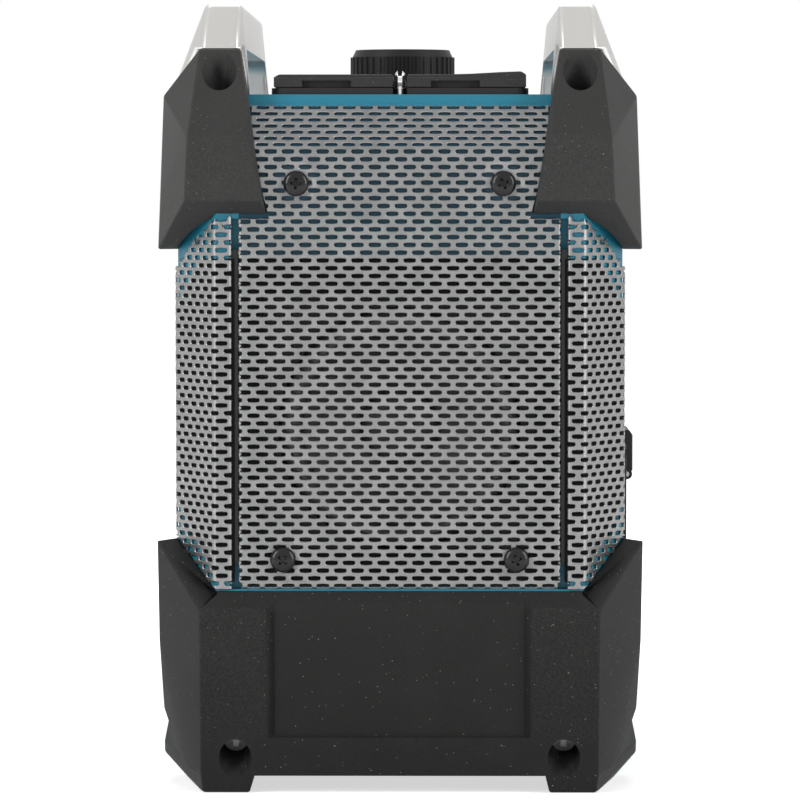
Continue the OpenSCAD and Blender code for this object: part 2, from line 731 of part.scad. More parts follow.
module front_roll_bar() color(silver) difference() {
  bar_envelope(0);
  along_y(-out_y, out_y) polygon(inset(section(), -bar_seat));
  // hand gap
  along_x(-side_x - 5, 0) translate([0, (bar_z - beam_h + 200) / 2])
    polygon(round_rect(hand_gap_l, bar_z - beam_h - 200, hand_gap_r));
  for (e = [0, 1]) mirror([0, e, 0]) at_bar_screws() cylinder(r = bolt_r + screw_fit, h = 14);
}

// ---------- loudspeakers ----------

frame_t = 3;
frame_gap = 0.3;
surround_r = 46;
cone_depth = 17;
cone_t = 1;
cap_r = 15;

frame_half = groove_x() - groove_w / 2 - rib_wall - frame_gap;

// Loudspeaker pieces are drawn with their axis along +z, the front face of the frame at z = 0.
module place_speaker() {
  translate([0, -face_y + shell_t + frame_gap, speaker_z]) rotate([90, 0, 0]) children();
}

module right_speaker_frame() color(black) place_speaker() difference() {
  union() {
    // square mounting flange
    translate([0, 0, -frame_t]) linear_extrude(frame_t)
      polygon(round_rect(2 * frame_half, 2 * (window_top + 4), 12));
    rotate_extrude() polygon([
      [speaker_r - 4, -frame_t + fine], [speaker_r - 1, -frame_t + fine],
      [magnet_r + 2, -speaker_depth + 24], [magnet_r - 6, -speaker_depth + 22],
      [magnet_r - 6, -speaker_depth + 25], [magnet_r - 1, -speaker_depth + 27]]);
  }
  translate([0, 0, -frame_t - 1]) cylinder(r = surround_r + 1, h = frame_t + 2);
  // notches round the bosses of the lower grille screws
  for (s = [-1, 1]) translate([s * lower_screw[0], lower_screw[1] - speaker_z, -frame_t - 1])
    cylinder(r = boss_r + 0.5, h = frame_t + 2);
  // windows in the basket
  for (a = [0 : 60 : 300]) rotate([0, 0, a])
    block([magnet_r + 4, -8, -speaker_depth + 22], [speaker_r + 2, 8, -frame_t - 4]);
}

module right_speaker_magnet() color(steel) place_speaker() translate([0, 0, -speaker_depth])
  rotate_extrude() polygon([
    [3, 0], [magnet_r - 3, 0], [magnet_r - 3, 4], [magnet_r, 4], [magnet_r, 17], [magnet_r - 3, 17],
    [magnet_r - 3, 21.7], [magnet_r - 9, 21.7], [magnet_r - 9, 20], [3, 20]]);

// Half roll surround, paper cone and dust cap in one glued piece.
module right_speaker_cone() color([0.2, 0.2, 0.2]) place_speaker() rotate_extrude() polygon(concat(
  [[surround_r + 0.8, -2.6]],
  [for (a = [0 : 20 : 180]) let (m = (surround_r + cone_r) / 2, q = (surround_r - cone_r) / 2)
    [m + q * cos(a), -2.2 + q * sin(a)]],
  [[cap_r, -cone_depth]],
  [for (a = [0 : 15 : 90]) [cap_r * cos(a), -cone_depth + 6 * sin(a)]],
  [for (a = [90 : -15 : 0]) [(cap_r - cone_t) * cos(a), -cone_depth - cone_t + 6 * sin(a)]],
  [[cap_r, -cone_depth - 2 * cone_t]],
  [for (a = [180 : -20 : 0]) let (m = (surround_r + cone_r) / 2, q = (surround_r - cone_r) / 2 - cone_t)
    [m + q * cos(a), -2.2 - cone_t + q * sin(a)]],
  [[surround_r + 0.8, -2.6 - cone_t]]
));

// ---------- control deck ----------

deck_top = deck_z + deck_t;
deck_lift = 0.05;
rod_z = deck_top + 2.9;           // axis of the stowed antenna
board_z = tray_z + 4;
board_t = 1.6;
window_y = 76;
bezel = 5;
bezel_h = 2;
window_t = 1.6;
fit = 0.3;
button_top = deck_top + 2.2;
button_x = 25;
socket_x = 26;
well_y = 7.8 - tray_l / 2;         // middle of the sockets, along the radio
post_y = -118;
hinge_y = well_y + 6.7;           // axis of the flap hinges
flap_gap = 0.2;                   // air under a closed flap
flap_z = deck_top + flap_gap;
hinge_z = flap_z + flap_t / 2;
button_rows = [for (i = [0 : 2]) hinge_y + 12.5 + 17 * i];
board_post = [tray_w / 2 - 8, tray_l / 2 - 9];
ear_seat = deck_z + 1;            // floor of the pockets that the ears stand in
ear_fit = 0.05;
ear_w = 3;
flap_in = channel_w / 2;
flap_out = 49;
ear_in = flap_in + 1.8;
ear_out = flap_out - 2.4 - ear_w;
switch_h = 4.3;
plate_z = deck_z + deck_lift;     // underside of the deck plate

module control_deck() color(black) difference() {
  union() {
    translate([0, 0, plate_z]) linear_extrude(deck_top - plate_z)
      polygon(round_rect(panel_deck_w, panel_deck_l, 6));
    // tray that hangs in the housing's opening
    difference() {
      block([-tray_w / 2 + tray_fit, -tray_l / 2 + tray_fit, tray_z],
            [tray_w / 2 - tray_fit, tray_l / 2 - tray_fit, deck_z + 1]);
      block([-tray_w / 2 + tray_fit + tray_wall, -tray_l / 2 + tray_fit + tray_wall, tray_z + tray_wall],
            [tray_w / 2 - tray_fit - tray_wall, tray_l / 2 - tray_fit - tray_wall, plate_z]);
    }
    // raised rim round the display
    translate([0, window_y, deck_z + 1]) linear_extrude(deck_t - 1 + bezel_h)
      polygon(round_rect(window_w + 2 * bezel, window_l + 2 * bezel, 5));
    // posts under the circuit board
    for (x = [-1, 1], y = [-1, 0, 1])
      translate([x * board_post[0], y * board_post[1], tray_z + 1])
        cylinder(r = 2.5, h = board_z - tray_z - 1);
  }
  // display opening, with a ledge for the window
  translate([0, window_y, deck_z - 5]) linear_extrude(20)
    polygon(round_rect(window_w - 4, window_l - 4, 2));
  translate([0, window_y, deck_top + bezel_h - window_t]) linear_extrude(5)
    polygon(round_rect(window_w + 0.4, window_l + 0.4, 3));
  for (s = [-1, 1], y = button_rows) translate([s * button_x, y, deck_z - 5]) linear_extrude(20)
    polygon(round_rect(button_w + 2 * fit, button_l + 2 * fit, 2.4));
  translate([0, knob_y, deck_z - 5]) cylinder(r = 4.2, h = 20);
  // pockets for the feet of the hinge ears
  at_ears() block([-ear_fit, -flap_t / 2 - ear_fit, ear_seat - 0.02],
                  [ear_w + ear_fit, flap_t / 2 + ear_fit, deck_top + 1]);
  // socket mouths
  translate([-socket_x, well_y, deck_z - 5]) cylinder(r = 5.2, h = 20);
  translate([socket_x, well_y, deck_z - 5]) linear_extrude(20) square([17.6, 9.6], center = true);
  // notch in the front edge, where the antenna's post stands
  block([-flap_in, -panel_deck_l / 2 - 1, deck_z - 1], [flap_in, post_y + post_r + 2, deck_top + 1]);
}

// Puts a piece at the inner end of each hinge ear, with its axis at y = 0 and heights as they are.
module at_ears() {
  for (s = [0, 1], x = [ear_in, ear_out]) mirror([s, 0, 0]) translate([x, hinge_y, 0]) children();
}

// Four ears that hold the flaps' hinge pins, each with its foot in a pocket of the deck.
module flap_hinge_ears() color(black) at_ears() difference() {
  along_x(0, ear_w) {
    translate([0, hinge_z]) circle(r = flap_t / 2);
    translate([-flap_t / 2, ear_seat]) square([flap_t, hinge_z - ear_seat]);
  }
  translate([-1, 0, hinge_z]) rotate([0, 90, 0]) cylinder(r = flap_pin_r + 0.03, h = ear_w + 2);
}

module control_board() color(board_green) {
  difference() {
    block([-tray_w / 2 + 4, -tray_l / 2 + 4, board_z], [tray_w / 2 - 4, tray_l / 2 - 4, board_z + board_t]);
    for (x = [-1, 1], y = [-1, 0, 1]) translate([x * board_post[0], y * board_post[1], board_z - 1])
      cylinder(r = 1.5, h = 4);
  }
  // a switch under each button
  for (s = [-1, 1], y = button_rows) translate([s * button_x, y, board_z + board_t - fine])
    block([-3, -3, 0], [3, 3, switch_h]);
}

module display_module() color([0.55, 0.6, 0.5]) translate([0, window_y, 0]) {
  top = deck_top + bezel_h - window_t - 0.15;
  translate([0, 0, deck_z + fit]) linear_extrude(top - deck_z - fit)
    polygon(round_rect(window_w - 4 - 2 * fit, window_l - 4 - 2 * fit, 1.6));
  // its two rows of contacts reach down to the board
  for (s = [-1, 1]) block([s * 20 - 2, -8, board_z + board_t], [s * 20 + 2, -2, deck_z + fit + fine]);
}

module display_window() color([0.7, 0.75, 0.78, 0.5])
  translate([0, window_y, deck_top + bezel_h - window_t + 0.05]) linear_extrude(window_t - 0.05)
    polygon(round_rect(window_w, window_l, 3));

encoder_w = 13;
encoder_h = 8;
shaft_r = 3;
shaft_top = deck_top + knob_h - 4;

module encoder_body() color([0.3, 0.3, 0.3]) translate([0, knob_y, board_z + board_t]) difference() {
  union() {
    block([-encoder_w / 2, -encoder_w / 2, 0], [encoder_w / 2, encoder_w / 2, encoder_h]);
    cylinder(r = 4, h = encoder_h + 2.5);
  }
  translate([0, 0, 2]) cylinder(r = shaft_r + 0.05, h = encoder_h + 5);
}

module encoder_shaft() color(silver)
  translate([0, knob_y, board_z + board_t + 2.3])
    cylinder(r = shaft_r, h = shaft_top - board_z - board_t - 2.3);

// A knob with a ribbed side, a bevelled crown and a shallow finger dish.
module tuning_knob() color(black) translate([0, knob_y, deck_top + 1]) difference() {
  union() {
    linear_extrude(knob_h - 3) polygon([
      for (i = [0 : knob_ribs - 1], k = [[-0.3, 0], [-0.16, 1], [0.16, 1], [0.3, 0]])
        let (a = 360 * (i + k[0]) / knob_ribs, r = knob_r - 0.7 + 0.7 * k[1]) [r * cos(a), r * sin(a)]]);
    translate([0, 0, knob_h - 3 - fine]) cylinder(r1 = knob_r - 0.8, r2 = knob_r - 2.2, h = 3);
  }
  translate([0, 0, -1]) cylinder(r = shaft_r + 0.03, h = shaft_top - deck_top + 0.3);
  translate([0, 0, knob_h - 1.6]) cylinder(r1 = knob_r - 6, r2 = knob_r - 4, h = 1.7);
  // hollow underside round the hub
  translate([0, 0, -1]) difference() {
    cylinder(r = knob_r - 3.4, h = knob_h - 4);
    cylinder(r = shaft_r + 2.2, h = knob_h);
  }
}

module push_button(side, row) color(rubber) translate([side * button_x, button_rows[row], 0]) {
  brim = plate_z - 0.25;    // top of the brim that keeps the button in
  translate([0, 0, brim - fine]) linear_extrude(button_top - brim)
    polygon(round_rect(button_w, button_l, 2));
  translate([0, 0, brim - 1.2]) linear_extrude(1.2)
    polygon(round_rect(button_w + 2, button_l + 2, 2));
  block([-2, -2, board_z + board_t + switch_h + button_travel + 0.3], [2, 2, brim - 1.1]);
}

// ---------- socket flaps ----------

notch_w = 19;
notch_h = 2.7;
notch_d = 2.4;
flap_end = hinge_y - flap_t / 2 - 0.6;
flap_front = flap_end - flap_l + 1.65;
barrel_x0 = ear_in + ear_w + 0.3;
barrel_x1 = ear_out - 0.3;
flap_top = flap_z + flap_t;

// The flap on the +x side; its top rises towards the outer edge by lift.
module flap(notch_x, lift) difference() {
  union() {
    along_y(flap_front + 1, flap_end) polygon([
      [flap_in, flap_z], [flap_out, flap_z], [flap_out, flap_top - 1.2 + lift],
      [flap_out - 2, flap_top + lift], [flap_out - 10, flap_top + lift * 0.75],
      [flap_out - 22, flap_top + lift * 0.2], [flap_in + 14, flap_top],
      [flap_in, flap_top]]);
    block([flap_in, flap_front, flap_z], [flap_out, flap_front + 1 + fine, flap_top - 1.1]);
    // hinge barrel
    along_x(barrel_x0, barrel_x1) {
      translate([hinge_y, hinge_z]) circle(r = flap_t / 2);
      translate([flap_end - fine, flap_z]) square([hinge_y - flap_end, flap_t]);
    }
  }
  translate([barrel_x0 - 1, hinge_y, hinge_z]) rotate([0, 90, 0])
    cylinder(r = flap_pin_r + 0.06, h = barrel_x1 - barrel_x0 + 2);
  block([notch_x, flap_front - 1, deck_top], [notch_x + notch_w, flap_front + notch_d, flap_z + notch_h]);
  // hollow underside over the socket
  block([socket_x - 10, well_y - 7, deck_top], [socket_x + 10, flap_end - 1.6, flap_top - 2]);
}

module charge_flap() color(black) flap(12, 1.2);
module line_in_flap() color(black) mirror([1, 0, 0]) flap(19, 0);

module flap_hinge_pins() color(steel) for (s = [0, 1]) mirror([s, 0, 0])
  translate([ear_in, hinge_y, hinge_z]) rotate([0, 90, 0])
    cylinder(r = flap_pin_r, h = ear_out + ear_w - ear_in);

socket_z = board_z + board_t;

module line_in_socket() color([0.2, 0.2, 0.2]) translate([-socket_x, well_y, 0]) difference() {
  union() {
    block([-6, -4.8, socket_z], [6, 4.8, plate_z - 0.3]);
    translate([0, 0, plate_z - 0.4]) cylinder(r = 5, h = deck_top - plate_z + 0.2);
  }
  translate([0, 0, socket_z + 1.5]) cylinder(r = line_in_r, h = 40);
}

module charge_socket() color([0.75, 0.75, 0.75]) translate([socket_x, well_y, 0]) difference() {
  block([-8.5, -4.5, socket_z], [8.5, 4.5, deck_top - 0.2]);
  block([-6.6, -2.7, socket_z + 2], [6.6, 2.7, deck_top + 1]);
}

// ---------- antenna ----------

tang_t = 1.6;
pin_r = 0.6;
tube_gap = 0.05;
tube_2_r = post_r - tube_wall - tube_gap;
tube_3_r = tube_2_r - tube_wall - tube_gap;
rod_start = post_y + post_r + 2.4;
tip_r = 1.9;

module antenna_post() color(silver) difference() {
  union() {
    translate([0, post_y, deck_z]) cylinder(r = post_r, h = rod_z + 2 - deck_z);
    translate([0, post_y, rod_z + 2]) intersection() {
      sphere(r = post_r);
      cylinder(r = post_r + 1, h = post_r);
    }
  }
  block([-tang_t / 2 - 0.1, post_y - post_r - 1, rod_z - 2.2],
        [tang_t / 2 + 0.1, post_y + post_r + 1, rod_z + 6]);
  translate([-5, post_y, rod_z]) rotate([0, 90, 0]) cylinder(r = pin_r + 0.03, h = 10);
}

module antenna_pin() color(steel) translate([-post_r + 0.2, post_y, rod_z])
  rotate([0, 90, 0]) cylinder(r = pin_r, h = 2 * post_r - 0.4);

module antenna_tube_1() color(silver) difference() {
  union() {
    along_x(-tang_t / 2, tang_t / 2) {
      translate([post_y, rod_z]) circle(r = 1.8);
      translate([post_y, rod_z - 1.4]) square([rod_start - post_y + 1, 2.8]);
    }
    translate([0, rod_start, rod_z]) rotate([-90, 0, 0]) cylinder(r = post_r, h = tube_l);
  }
  translate([0, rod_start + 2, rod_z]) rotate([-90, 0, 0]) cylinder(r = tube_2_r + tube_gap, h = tube_l);
  translate([-5, post_y, rod_z]) rotate([0, 90, 0]) cylinder(r = pin_r + 0.05, h = 10);
}

module antenna_tube_2() color(silver)
  translate([0, rod_start + 2.2, rod_z]) rotate([-90, 0, 0]) difference() {
    cylinder(r = tube_2_r, h = tube_l - 1.2);
    translate([0, 0, 1]) cylinder(r = tube_3_r + tube_gap, h = tube_l);
  }

module antenna_tube_3() color(silver) translate([0, rod_start + 3.4, rod_z]) rotate([-90, 0, 0]) union() {
  cylinder(r = tube_3_r, h = tube_l - 1);
  translate([0, 0, tube_l - 1.4]) cylinder(r = tip_r, h = 3);
}

// ---------- battery bay ----------

door_gap = 0.3;                   // between the closed door and the wall
door_x0 = half_w + door_gap;
door_x1 = door_x0 + door_t;
door_low = bay_z - 4;
door_high = bay_z + bay_h + 4;
knuckle_r = 2.9;
knuckle_gap = 0.2;
knuckle_l = 14;
knuckle_count = 7;                // the door has every second one, the housing the others
hinge_x = half_w + knuckle_r + 0.3;
door_hinge_z = door_low - 0.2;

// Both ends of knuckle i along y.
function knuckle_y(i) =
  [(i - knuckle_count / 2) * knuckle_l + knuckle_gap, (i + 1 - knuckle_count / 2) * knuckle_l];

module along_knuckle(y0, y1) {
  translate([hinge_x, y1, door_hinge_z]) rotate([90, 0, 0]) cylinder(r = knuckle_r, h = y1 - y0);
}

// The housing's knuckles, each on a web from the wall.
module housing_knuckles() {
  for (i = [0 : 2 : knuckle_count - 1]) {
    y = knuckle_y(i);
    along_knuckle(y[0], y[1]);
    block([half_w - 1, y[0], door_hinge_z - knuckle_r], [hinge_x, y[1], door_hinge_z]);
  }
}

module battery_bay() color(black) difference() {
  block([half_w - bay_d, -bay_l / 2 + bay_fit, bay_z + bay_fit],
        [half_w - 0.2, bay_l / 2 - bay_fit, bay_z + bay_h - bay_fit]);
  block([half_w - bay_d + bay_wall, -bay_l / 2 + bay_fit + bay_wall, bay_z + bay_fit + bay_wall],
        [half_w + 1, bay_l / 2 - bay_fit - bay_wall, bay_z + bay_h - bay_fit - bay_wall]);
}

module battery_terminals() color([0.75, 0.62, 0.3]) {
  x = half_w - bay_d + bay_wall;
  block([x, -22, bay_z + 52], [x + 6, 22, bay_z + 72]);
  for (y = [-14, -5, 5, 14]) block([x + 5, y - 0.6, bay_z + 55], [x + 13, y + 0.6, bay_z + 69]);
}

latch_z = 113.8;                  // its lower edge
latch_top = 134.1;
latch_out = side_x - 0.2;
latch_pin_r = 1;
latch_axis = [door_x1 + 1.6, latch_z + 2.4];
keeper_gap = 0.4;

module battery_door() color(black) difference() {
  union() {
    along_x(door_x0, door_x1) translate([0, (door_low + door_high) / 2])
      polygon(round_rect(bay_l + 10, door_high - door_low, 5));
    // grip ribs
    for (i = [0 : 4]) block([door_x1 - fine, -24, 60 + i * 9], [door_x1 + 0.9, 24, 63 + i * 9]);
    for (i = [1 : 2 : knuckle_count - 1]) along_knuckle(knuckle_y(i)[0], knuckle_y(i)[1]);
    // ears that hold the latch's pin
    for (s = [-1, 1]) translate([0, s * (latch_w / 2 + 0.3 + 1.5), 0]) along_y(-1.5, 1.5) {
      translate(latch_axis) circle(r = 2.2);
      translate([door_x1 - 1, latch_axis[1] - 2.2]) square([latch_axis[0] - door_x1 + 1, 4.4]);
    }
  }
  // room for the housing's knuckles
  for (i = [0 : 2 : knuckle_count - 1]) block(
    [door_x0 - 1, knuckle_y(i)[0] - 2 * knuckle_gap, door_low - 1],
    [door_x1 + 1, knuckle_y(i)[1] + knuckle_gap, door_hinge_z + knuckle_r + 0.8]);
  translate([hinge_x, -bay_l, door_hinge_z]) rotate([-90, 0, 0])
    cylinder(r = door_pin_r + 0.05, h = 2 * bay_l);
  translate([latch_axis[0], -latch_w, latch_axis[1]]) rotate([-90, 0, 0])
    cylinder(r = latch_pin_r + 0.03, h = 2 * latch_w);
  // finger recess behind the latch
  block([door_x1 - 1.6, -latch_w / 2 - 0.3, latch_z - 3],
        [door_x1 + 1, latch_w / 2 + 0.3, latch_axis[1] + 2.4]);
}

module door_hinge_pin() color(steel)
  translate([hinge_x, knuckle_y(0)[0] + 1, door_hinge_z]) rotate([-90, 0, 0])
    cylinder(r = door_pin_r, h = knuckle_y(knuckle_count - 1)[1] - knuckle_y(0)[0] - 2);

// A lever that turns about its lower end; its nose drops over the keeper above the door.
module door_latch() color(black) difference() {
  union() {
    along_y(-latch_w / 2, latch_w / 2) polygon([
      [door_x1 + 0.4, latch_axis[1]], [door_x1 + 0.4, latch_z + 6], [door_x1 + 0.4, latch_top],
      [latch_out - 1.4, latch_top], [latch_out, latch_top - 2], [latch_out, latch_z + 4],
      [latch_out - 1.6, latch_z + 1.4], [latch_axis[0], latch_z + 0.4]]);
    translate([latch_axis[0], latch_w / 2, latch_axis[1]]) rotate([90, 0, 0]) cylinder(r = 2, h = latch_w);
  }
  translate([latch_axis[0], -latch_w, latch_axis[1]]) rotate([-90, 0, 0])
    cylinder(r = latch_pin_r + 0.06, h = 2 * latch_w);
  // hollow back
  block([door_x1, -latch_w / 2 + 3, latch_axis[1] + 4], [latch_out - 1.8, latch_w / 2 - 3, door_high - 3]);
}

module latch_pin() color(steel) translate([latch_axis[0], -latch_w / 2 - 3.3, latch_axis[1]])
  rotate([-90, 0, 0]) cylinder(r = latch_pin_r, h = latch_w + 6.6);

module amplifier_board() color(board_green) {
  block([-62, -80, 26], [30, 80, 27.6]);
  for (x = [-54, 22], y = [-70, 70]) translate([x, y, base_z + shell_t])
    cylinder(r = 3, h = 26 - base_z - shell_t);
  // heat sink
  block([-30, -50, 27.6 - fine], [-26, 50, 62]);
  for (i = [0 : 6]) block([-26 - fine, -48 + i * 15, 30], [-12, -46 + i * 15, 60]);
}

// ---------- nodes ----------

main_housing();
right_end_cap();
left_end() right_end_cap();  // left_end_cap
right_end_grille();
left_end() right_end_grille();  // left_end_grille
front_right_corner_grille();
rear_side() front_right_corner_grille();  // rear_right_corner_grille
left_end() front_right_corner_grille();  // front_left_corner_grille
left_end() rear_side() front_right_corner_grille();  // rear_left_corner_grille
right_grille_strips();
left_end() right_grille_strips();  // left_grille_strips
grille_screws();
front_right_top_bumper();
rear_side() front_right_top_bumper();  // rear_right_top_bumper
left_end() front_right_top_bumper();  // front_left_top_bumper
left_end() rear_side() front_right_top_bumper();  // rear_left_top_bumper
right_base_bumper();
left_end() right_base_bumper();  // left_base_bumper
front_roll_bar();
rear_side() front_roll_bar();  // rear_roll_bar
roll_bar_screws();
top_bumper_bolts();
base_bumper_bolts();
right_speaker_frame();
right_speaker_magnet();
right_speaker_cone();
left_end() right_speaker_frame();  // left_speaker_frame
left_end() right_speaker_magnet();  // left_speaker_magnet
left_end() right_speaker_cone();  // left_speaker_cone
control_deck();
control_board();
display_module();
display_window();
encoder_body();
encoder_shaft();
tuning_knob();
push_button(-1, 0);  // power_button
push_button(-1, 1);  // source_button
push_button(-1, 2);  // menu_button
push_button(1, 0);  // seek_down_button
push_button(1, 1);  // seek_up_button
push_button(1, 2);  // preset_button
flap_hinge_ears();
line_in_flap();
charge_flap();
flap_hinge_pins();
line_in_socket();
charge_socket();
antenna_post();
antenna_pin();
antenna_tube_1();
antenna_tube_2();
antenna_tube_3();
battery_bay();
battery_terminals();
battery_door();
door_hinge_pin();
door_latch();
latch_pin();
amplifier_board();
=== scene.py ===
"""The looks of the jobsite radio: rubber, punched sheets, felts, screws, finishes, lights and camera.

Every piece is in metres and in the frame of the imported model. -Y is the loudspeaker end that
faces the camera, -X is the front wall, +X is the wall with the battery door, and z = 0 is the floor.
"""
import json
import math

import bmesh
import bpy
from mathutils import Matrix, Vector

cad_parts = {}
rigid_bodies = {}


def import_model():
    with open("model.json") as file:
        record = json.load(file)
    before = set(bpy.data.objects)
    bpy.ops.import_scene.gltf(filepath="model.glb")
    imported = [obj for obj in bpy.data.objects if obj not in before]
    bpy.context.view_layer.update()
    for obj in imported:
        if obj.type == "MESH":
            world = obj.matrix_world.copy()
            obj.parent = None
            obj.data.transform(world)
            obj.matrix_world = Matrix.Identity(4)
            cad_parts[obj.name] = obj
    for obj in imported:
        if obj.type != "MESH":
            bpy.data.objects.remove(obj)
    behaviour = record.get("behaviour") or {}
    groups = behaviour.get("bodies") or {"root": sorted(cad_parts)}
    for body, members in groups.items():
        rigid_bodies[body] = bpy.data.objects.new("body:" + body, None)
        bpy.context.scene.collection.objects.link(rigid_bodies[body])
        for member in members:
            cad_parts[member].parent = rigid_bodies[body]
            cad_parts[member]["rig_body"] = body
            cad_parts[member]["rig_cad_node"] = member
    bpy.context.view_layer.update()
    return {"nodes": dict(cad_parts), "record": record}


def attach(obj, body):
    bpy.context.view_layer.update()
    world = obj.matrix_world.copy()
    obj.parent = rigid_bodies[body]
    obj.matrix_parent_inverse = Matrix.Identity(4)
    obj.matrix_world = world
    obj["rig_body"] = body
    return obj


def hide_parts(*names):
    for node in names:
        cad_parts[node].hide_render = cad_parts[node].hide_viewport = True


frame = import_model()
NODES = frame["nodes"]
MM = 0.001

# ---------------------------------------------------------------- camera

EYE = Vector((0.0156, -2.045, 0.238))
AIM = Vector((0.0002, -0.145, 0.1522))
FOCAL_MM = 222.3


def add_camera():
    data = bpy.data.cameras.new("photo_camera")
    data.lens = FOCAL_MM
    data.sensor_width = 36.0
    camera = bpy.data.objects.new("photo_camera", data)
    bpy.context.scene.collection.objects.link(camera)
    camera.location = EYE
    camera.rotation_mode = "QUATERNION"
    camera.rotation_quaternion = (AIM - EYE).to_track_quat("-Z", "Y")
    bpy.context.scene.camera = camera


add_camera()

# ---------------------------------------------------------------- shader writing


class Value:
    """A shader socket that adds Math nodes when it is used in an expression."""

    def __init__(self, paint, socket):
        self.paint = paint
        self.socket = socket

    def maths(self, operation, other=None, swap=False):
        sides = [self] if other is None else [other, self] if swap else [self, other]
        return self.paint.node("ShaderNodeMath", {"operation": operation}, dict(enumerate(sides)))

    def __add__(self, other):
        return self.maths("ADD", other)

    def __sub__(self, other):
        return self.maths("SUBTRACT", other)

    def size(self):
        return self.maths("ABSOLUTE")

    def __rsub__(self, other):
        return self.maths("SUBTRACT", other, swap=True)

    def __mul__(self, other):
        return self.maths("MULTIPLY", other)

    def __gt__(self, other):
        return self.maths("GREATER_THAN", other)

    def __lt__(self, other):
        return self.maths("LESS_THAN", other)

    __radd__ = __add__
    __rmul__ = __mul__

    def smooth(self, low, high):
        """0 below low, 1 above high, and a soft step between them."""
        return self.paint.node("ShaderNodeMapRange", {"interpolation_type": "SMOOTHSTEP"},
                               {"Value": self, "From Min": low, "From Max": high})


class Paint:
    """One material, written as expressions on its sockets."""

    def __init__(self, name, base, roughness, metallic=0.0, **constants):
        self.material = bpy.data.materials.new(name)
        self.material.use_nodes = True
        self.tree = self.material.node_tree
        self.shader = self.tree.nodes["Principled BSDF"]
        self.set("Base Color", base)
        self.set("Roughness", roughness)
        self.set("Metallic", metallic)
        for socket, value in constants.items():
            self.set(socket.replace("_", " ").title().replace("Ior", "IOR"), value)
        self.coords = self.node("ShaderNodeTexCoord", out="Object")

    def set(self, socket, value):
        """Gives one of the shader's sockets a constant or a link."""
        self.feed(self.shader.inputs[socket], value)

    def feed(self, socket, value):
        if isinstance(value, Value):
            self.tree.links.new(value.socket, socket)
        elif socket.type == "RGBA" and len(value) == 3:
            socket.default_value = (*value, 1.0)
        else:
            socket.default_value = value

    def node(self, kind, settings=None, inputs=None, out=0):
        """Adds a node: its settings first, then the values or links of its sockets."""
        node = self.tree.nodes.new(kind)
        for key, value in (settings or {}).items():
            setattr(node, key, value)
        for key, value in (inputs or {}).items():
            self.feed(node.inputs[key], value)
        return Value(self, node.outputs[out])

    def noise(self, size, detail=2.0, roughness=0.5, coords=None):
        """Noise from 0 to 1 whose spots are about size metres across."""
        return self.node("ShaderNodeTexNoise", None, {
            "Vector": coords or self.coords, "Scale": 1.0 / size, "Detail": detail,
            "Roughness": roughness})

    def specks(self, size, share, radius):
        """1 in round specks: one in each cell of that size, kept in a share of the cells."""
        cell = {"Vector": self.coords, "Scale": 1.0 / size, "Randomness": 1.0}
        near = self.node("ShaderNodeTexVoronoi", {"feature": "F1"}, cell, out="Distance")
        colour = self.node("ShaderNodeTexVoronoi", {"feature": "F1"}, cell, out="Color")
        luck = self.node("ShaderNodeSeparateColor", None, {"Color": colour}, out=0)
        return (1 - near.smooth(radius * 0.6, radius)) * (luck < share)

    def mix(self, share, one, two):
        """The first colour where share is 0 and the second where it is 1."""
        return self.node("ShaderNodeMix", {"data_type": "RGBA"},
                         {0: share, 6: one if isinstance(one, Value) else (*one, 1.0),
                          7: two if isinstance(two, Value) else (*two, 1.0)}, out=2)

    def part(self, axis):
        """One part of a point's place: 0 for x, 1 for y and 2 for z."""
        return self.node("ShaderNodeSeparateXYZ", None, {"Vector": self.coords}, out=axis)

    def bump(self, height, depth, strength=1.0):
        """Raises the surface by height times depth metres."""
        self.set("Normal", self.node("ShaderNodeBump", None, {
            "Height": height, "Distance": depth, "Strength": strength}))


RAISED = 143.4 * MM        # faces further out than this get paler grains: partly dust, partly painted light that leaves the recessed panel in shade


def moulded_rubber(name, base, dust_share=0.2, dust_amount=0.8, grain_size=0.55 * MM):
    """Granular matt rubber with paler grains, dust specks and a random bloom; painted shade darkens it
    towards the floor, painted light lifts it and its pale grains higher up, and the outer faces get paler
    grains, partly dust and partly painted light.
    """
    paint = Paint(name, base, 0.62, specular_ior_level=0.16)
    grain = paint.noise(grain_size, 4.0, 0.65)
    pebble = grain.smooth(0.4, 0.68)
    # painted light and shade by height: 0 at the floor, in painted shade, and 1 higher up, in painted light
    height = paint.part(2).smooth(0.0, 0.24)
    bloom = paint.noise(24 * MM, 3.0, 0.55).smooth(0.42, 0.78)
    dust = (paint.specks(2.9 * MM, dust_share, 0.085) + paint.specks(6.5 * MM, dust_share, 0.05)
            + paint.specks(1.3 * MM, dust_share * 0.5, 0.16))
    # the colour in painted shade low down, and the pale grain colour, which partly stands for painted light
    low = [c * 0.45 for c in base]
    pale_grain_and_light = [c * 3.2 + 0.012 for c in base]
    # painted shade towards the floor and painted light higher up, with a little random bloom mixed in
    colour = paint.mix(height * 0.85 + bloom * 0.15, low, [c * 1.7 for c in base])
    # paler grains on the outer faces: partly dust, partly painted light that leaves the recessed panel
    # darker
    outer_dust_and_light = paint.part(1).size().smooth(RAISED, RAISED + 1.2 * MM)
    colour = paint.mix(pebble * (0.1 + height * 0.16 + outer_dust_and_light * 0.14), colour, pale_grain_and_light)
    paint.set("Base Color", paint.mix(dust * dust_amount, colour, (0.34, 0.32, 0.28)))
    paint.set("Roughness", 0.46 + grain * 0.24)
    paint.bump(grain, 0.2 * MM, 1.0)
    return paint.material


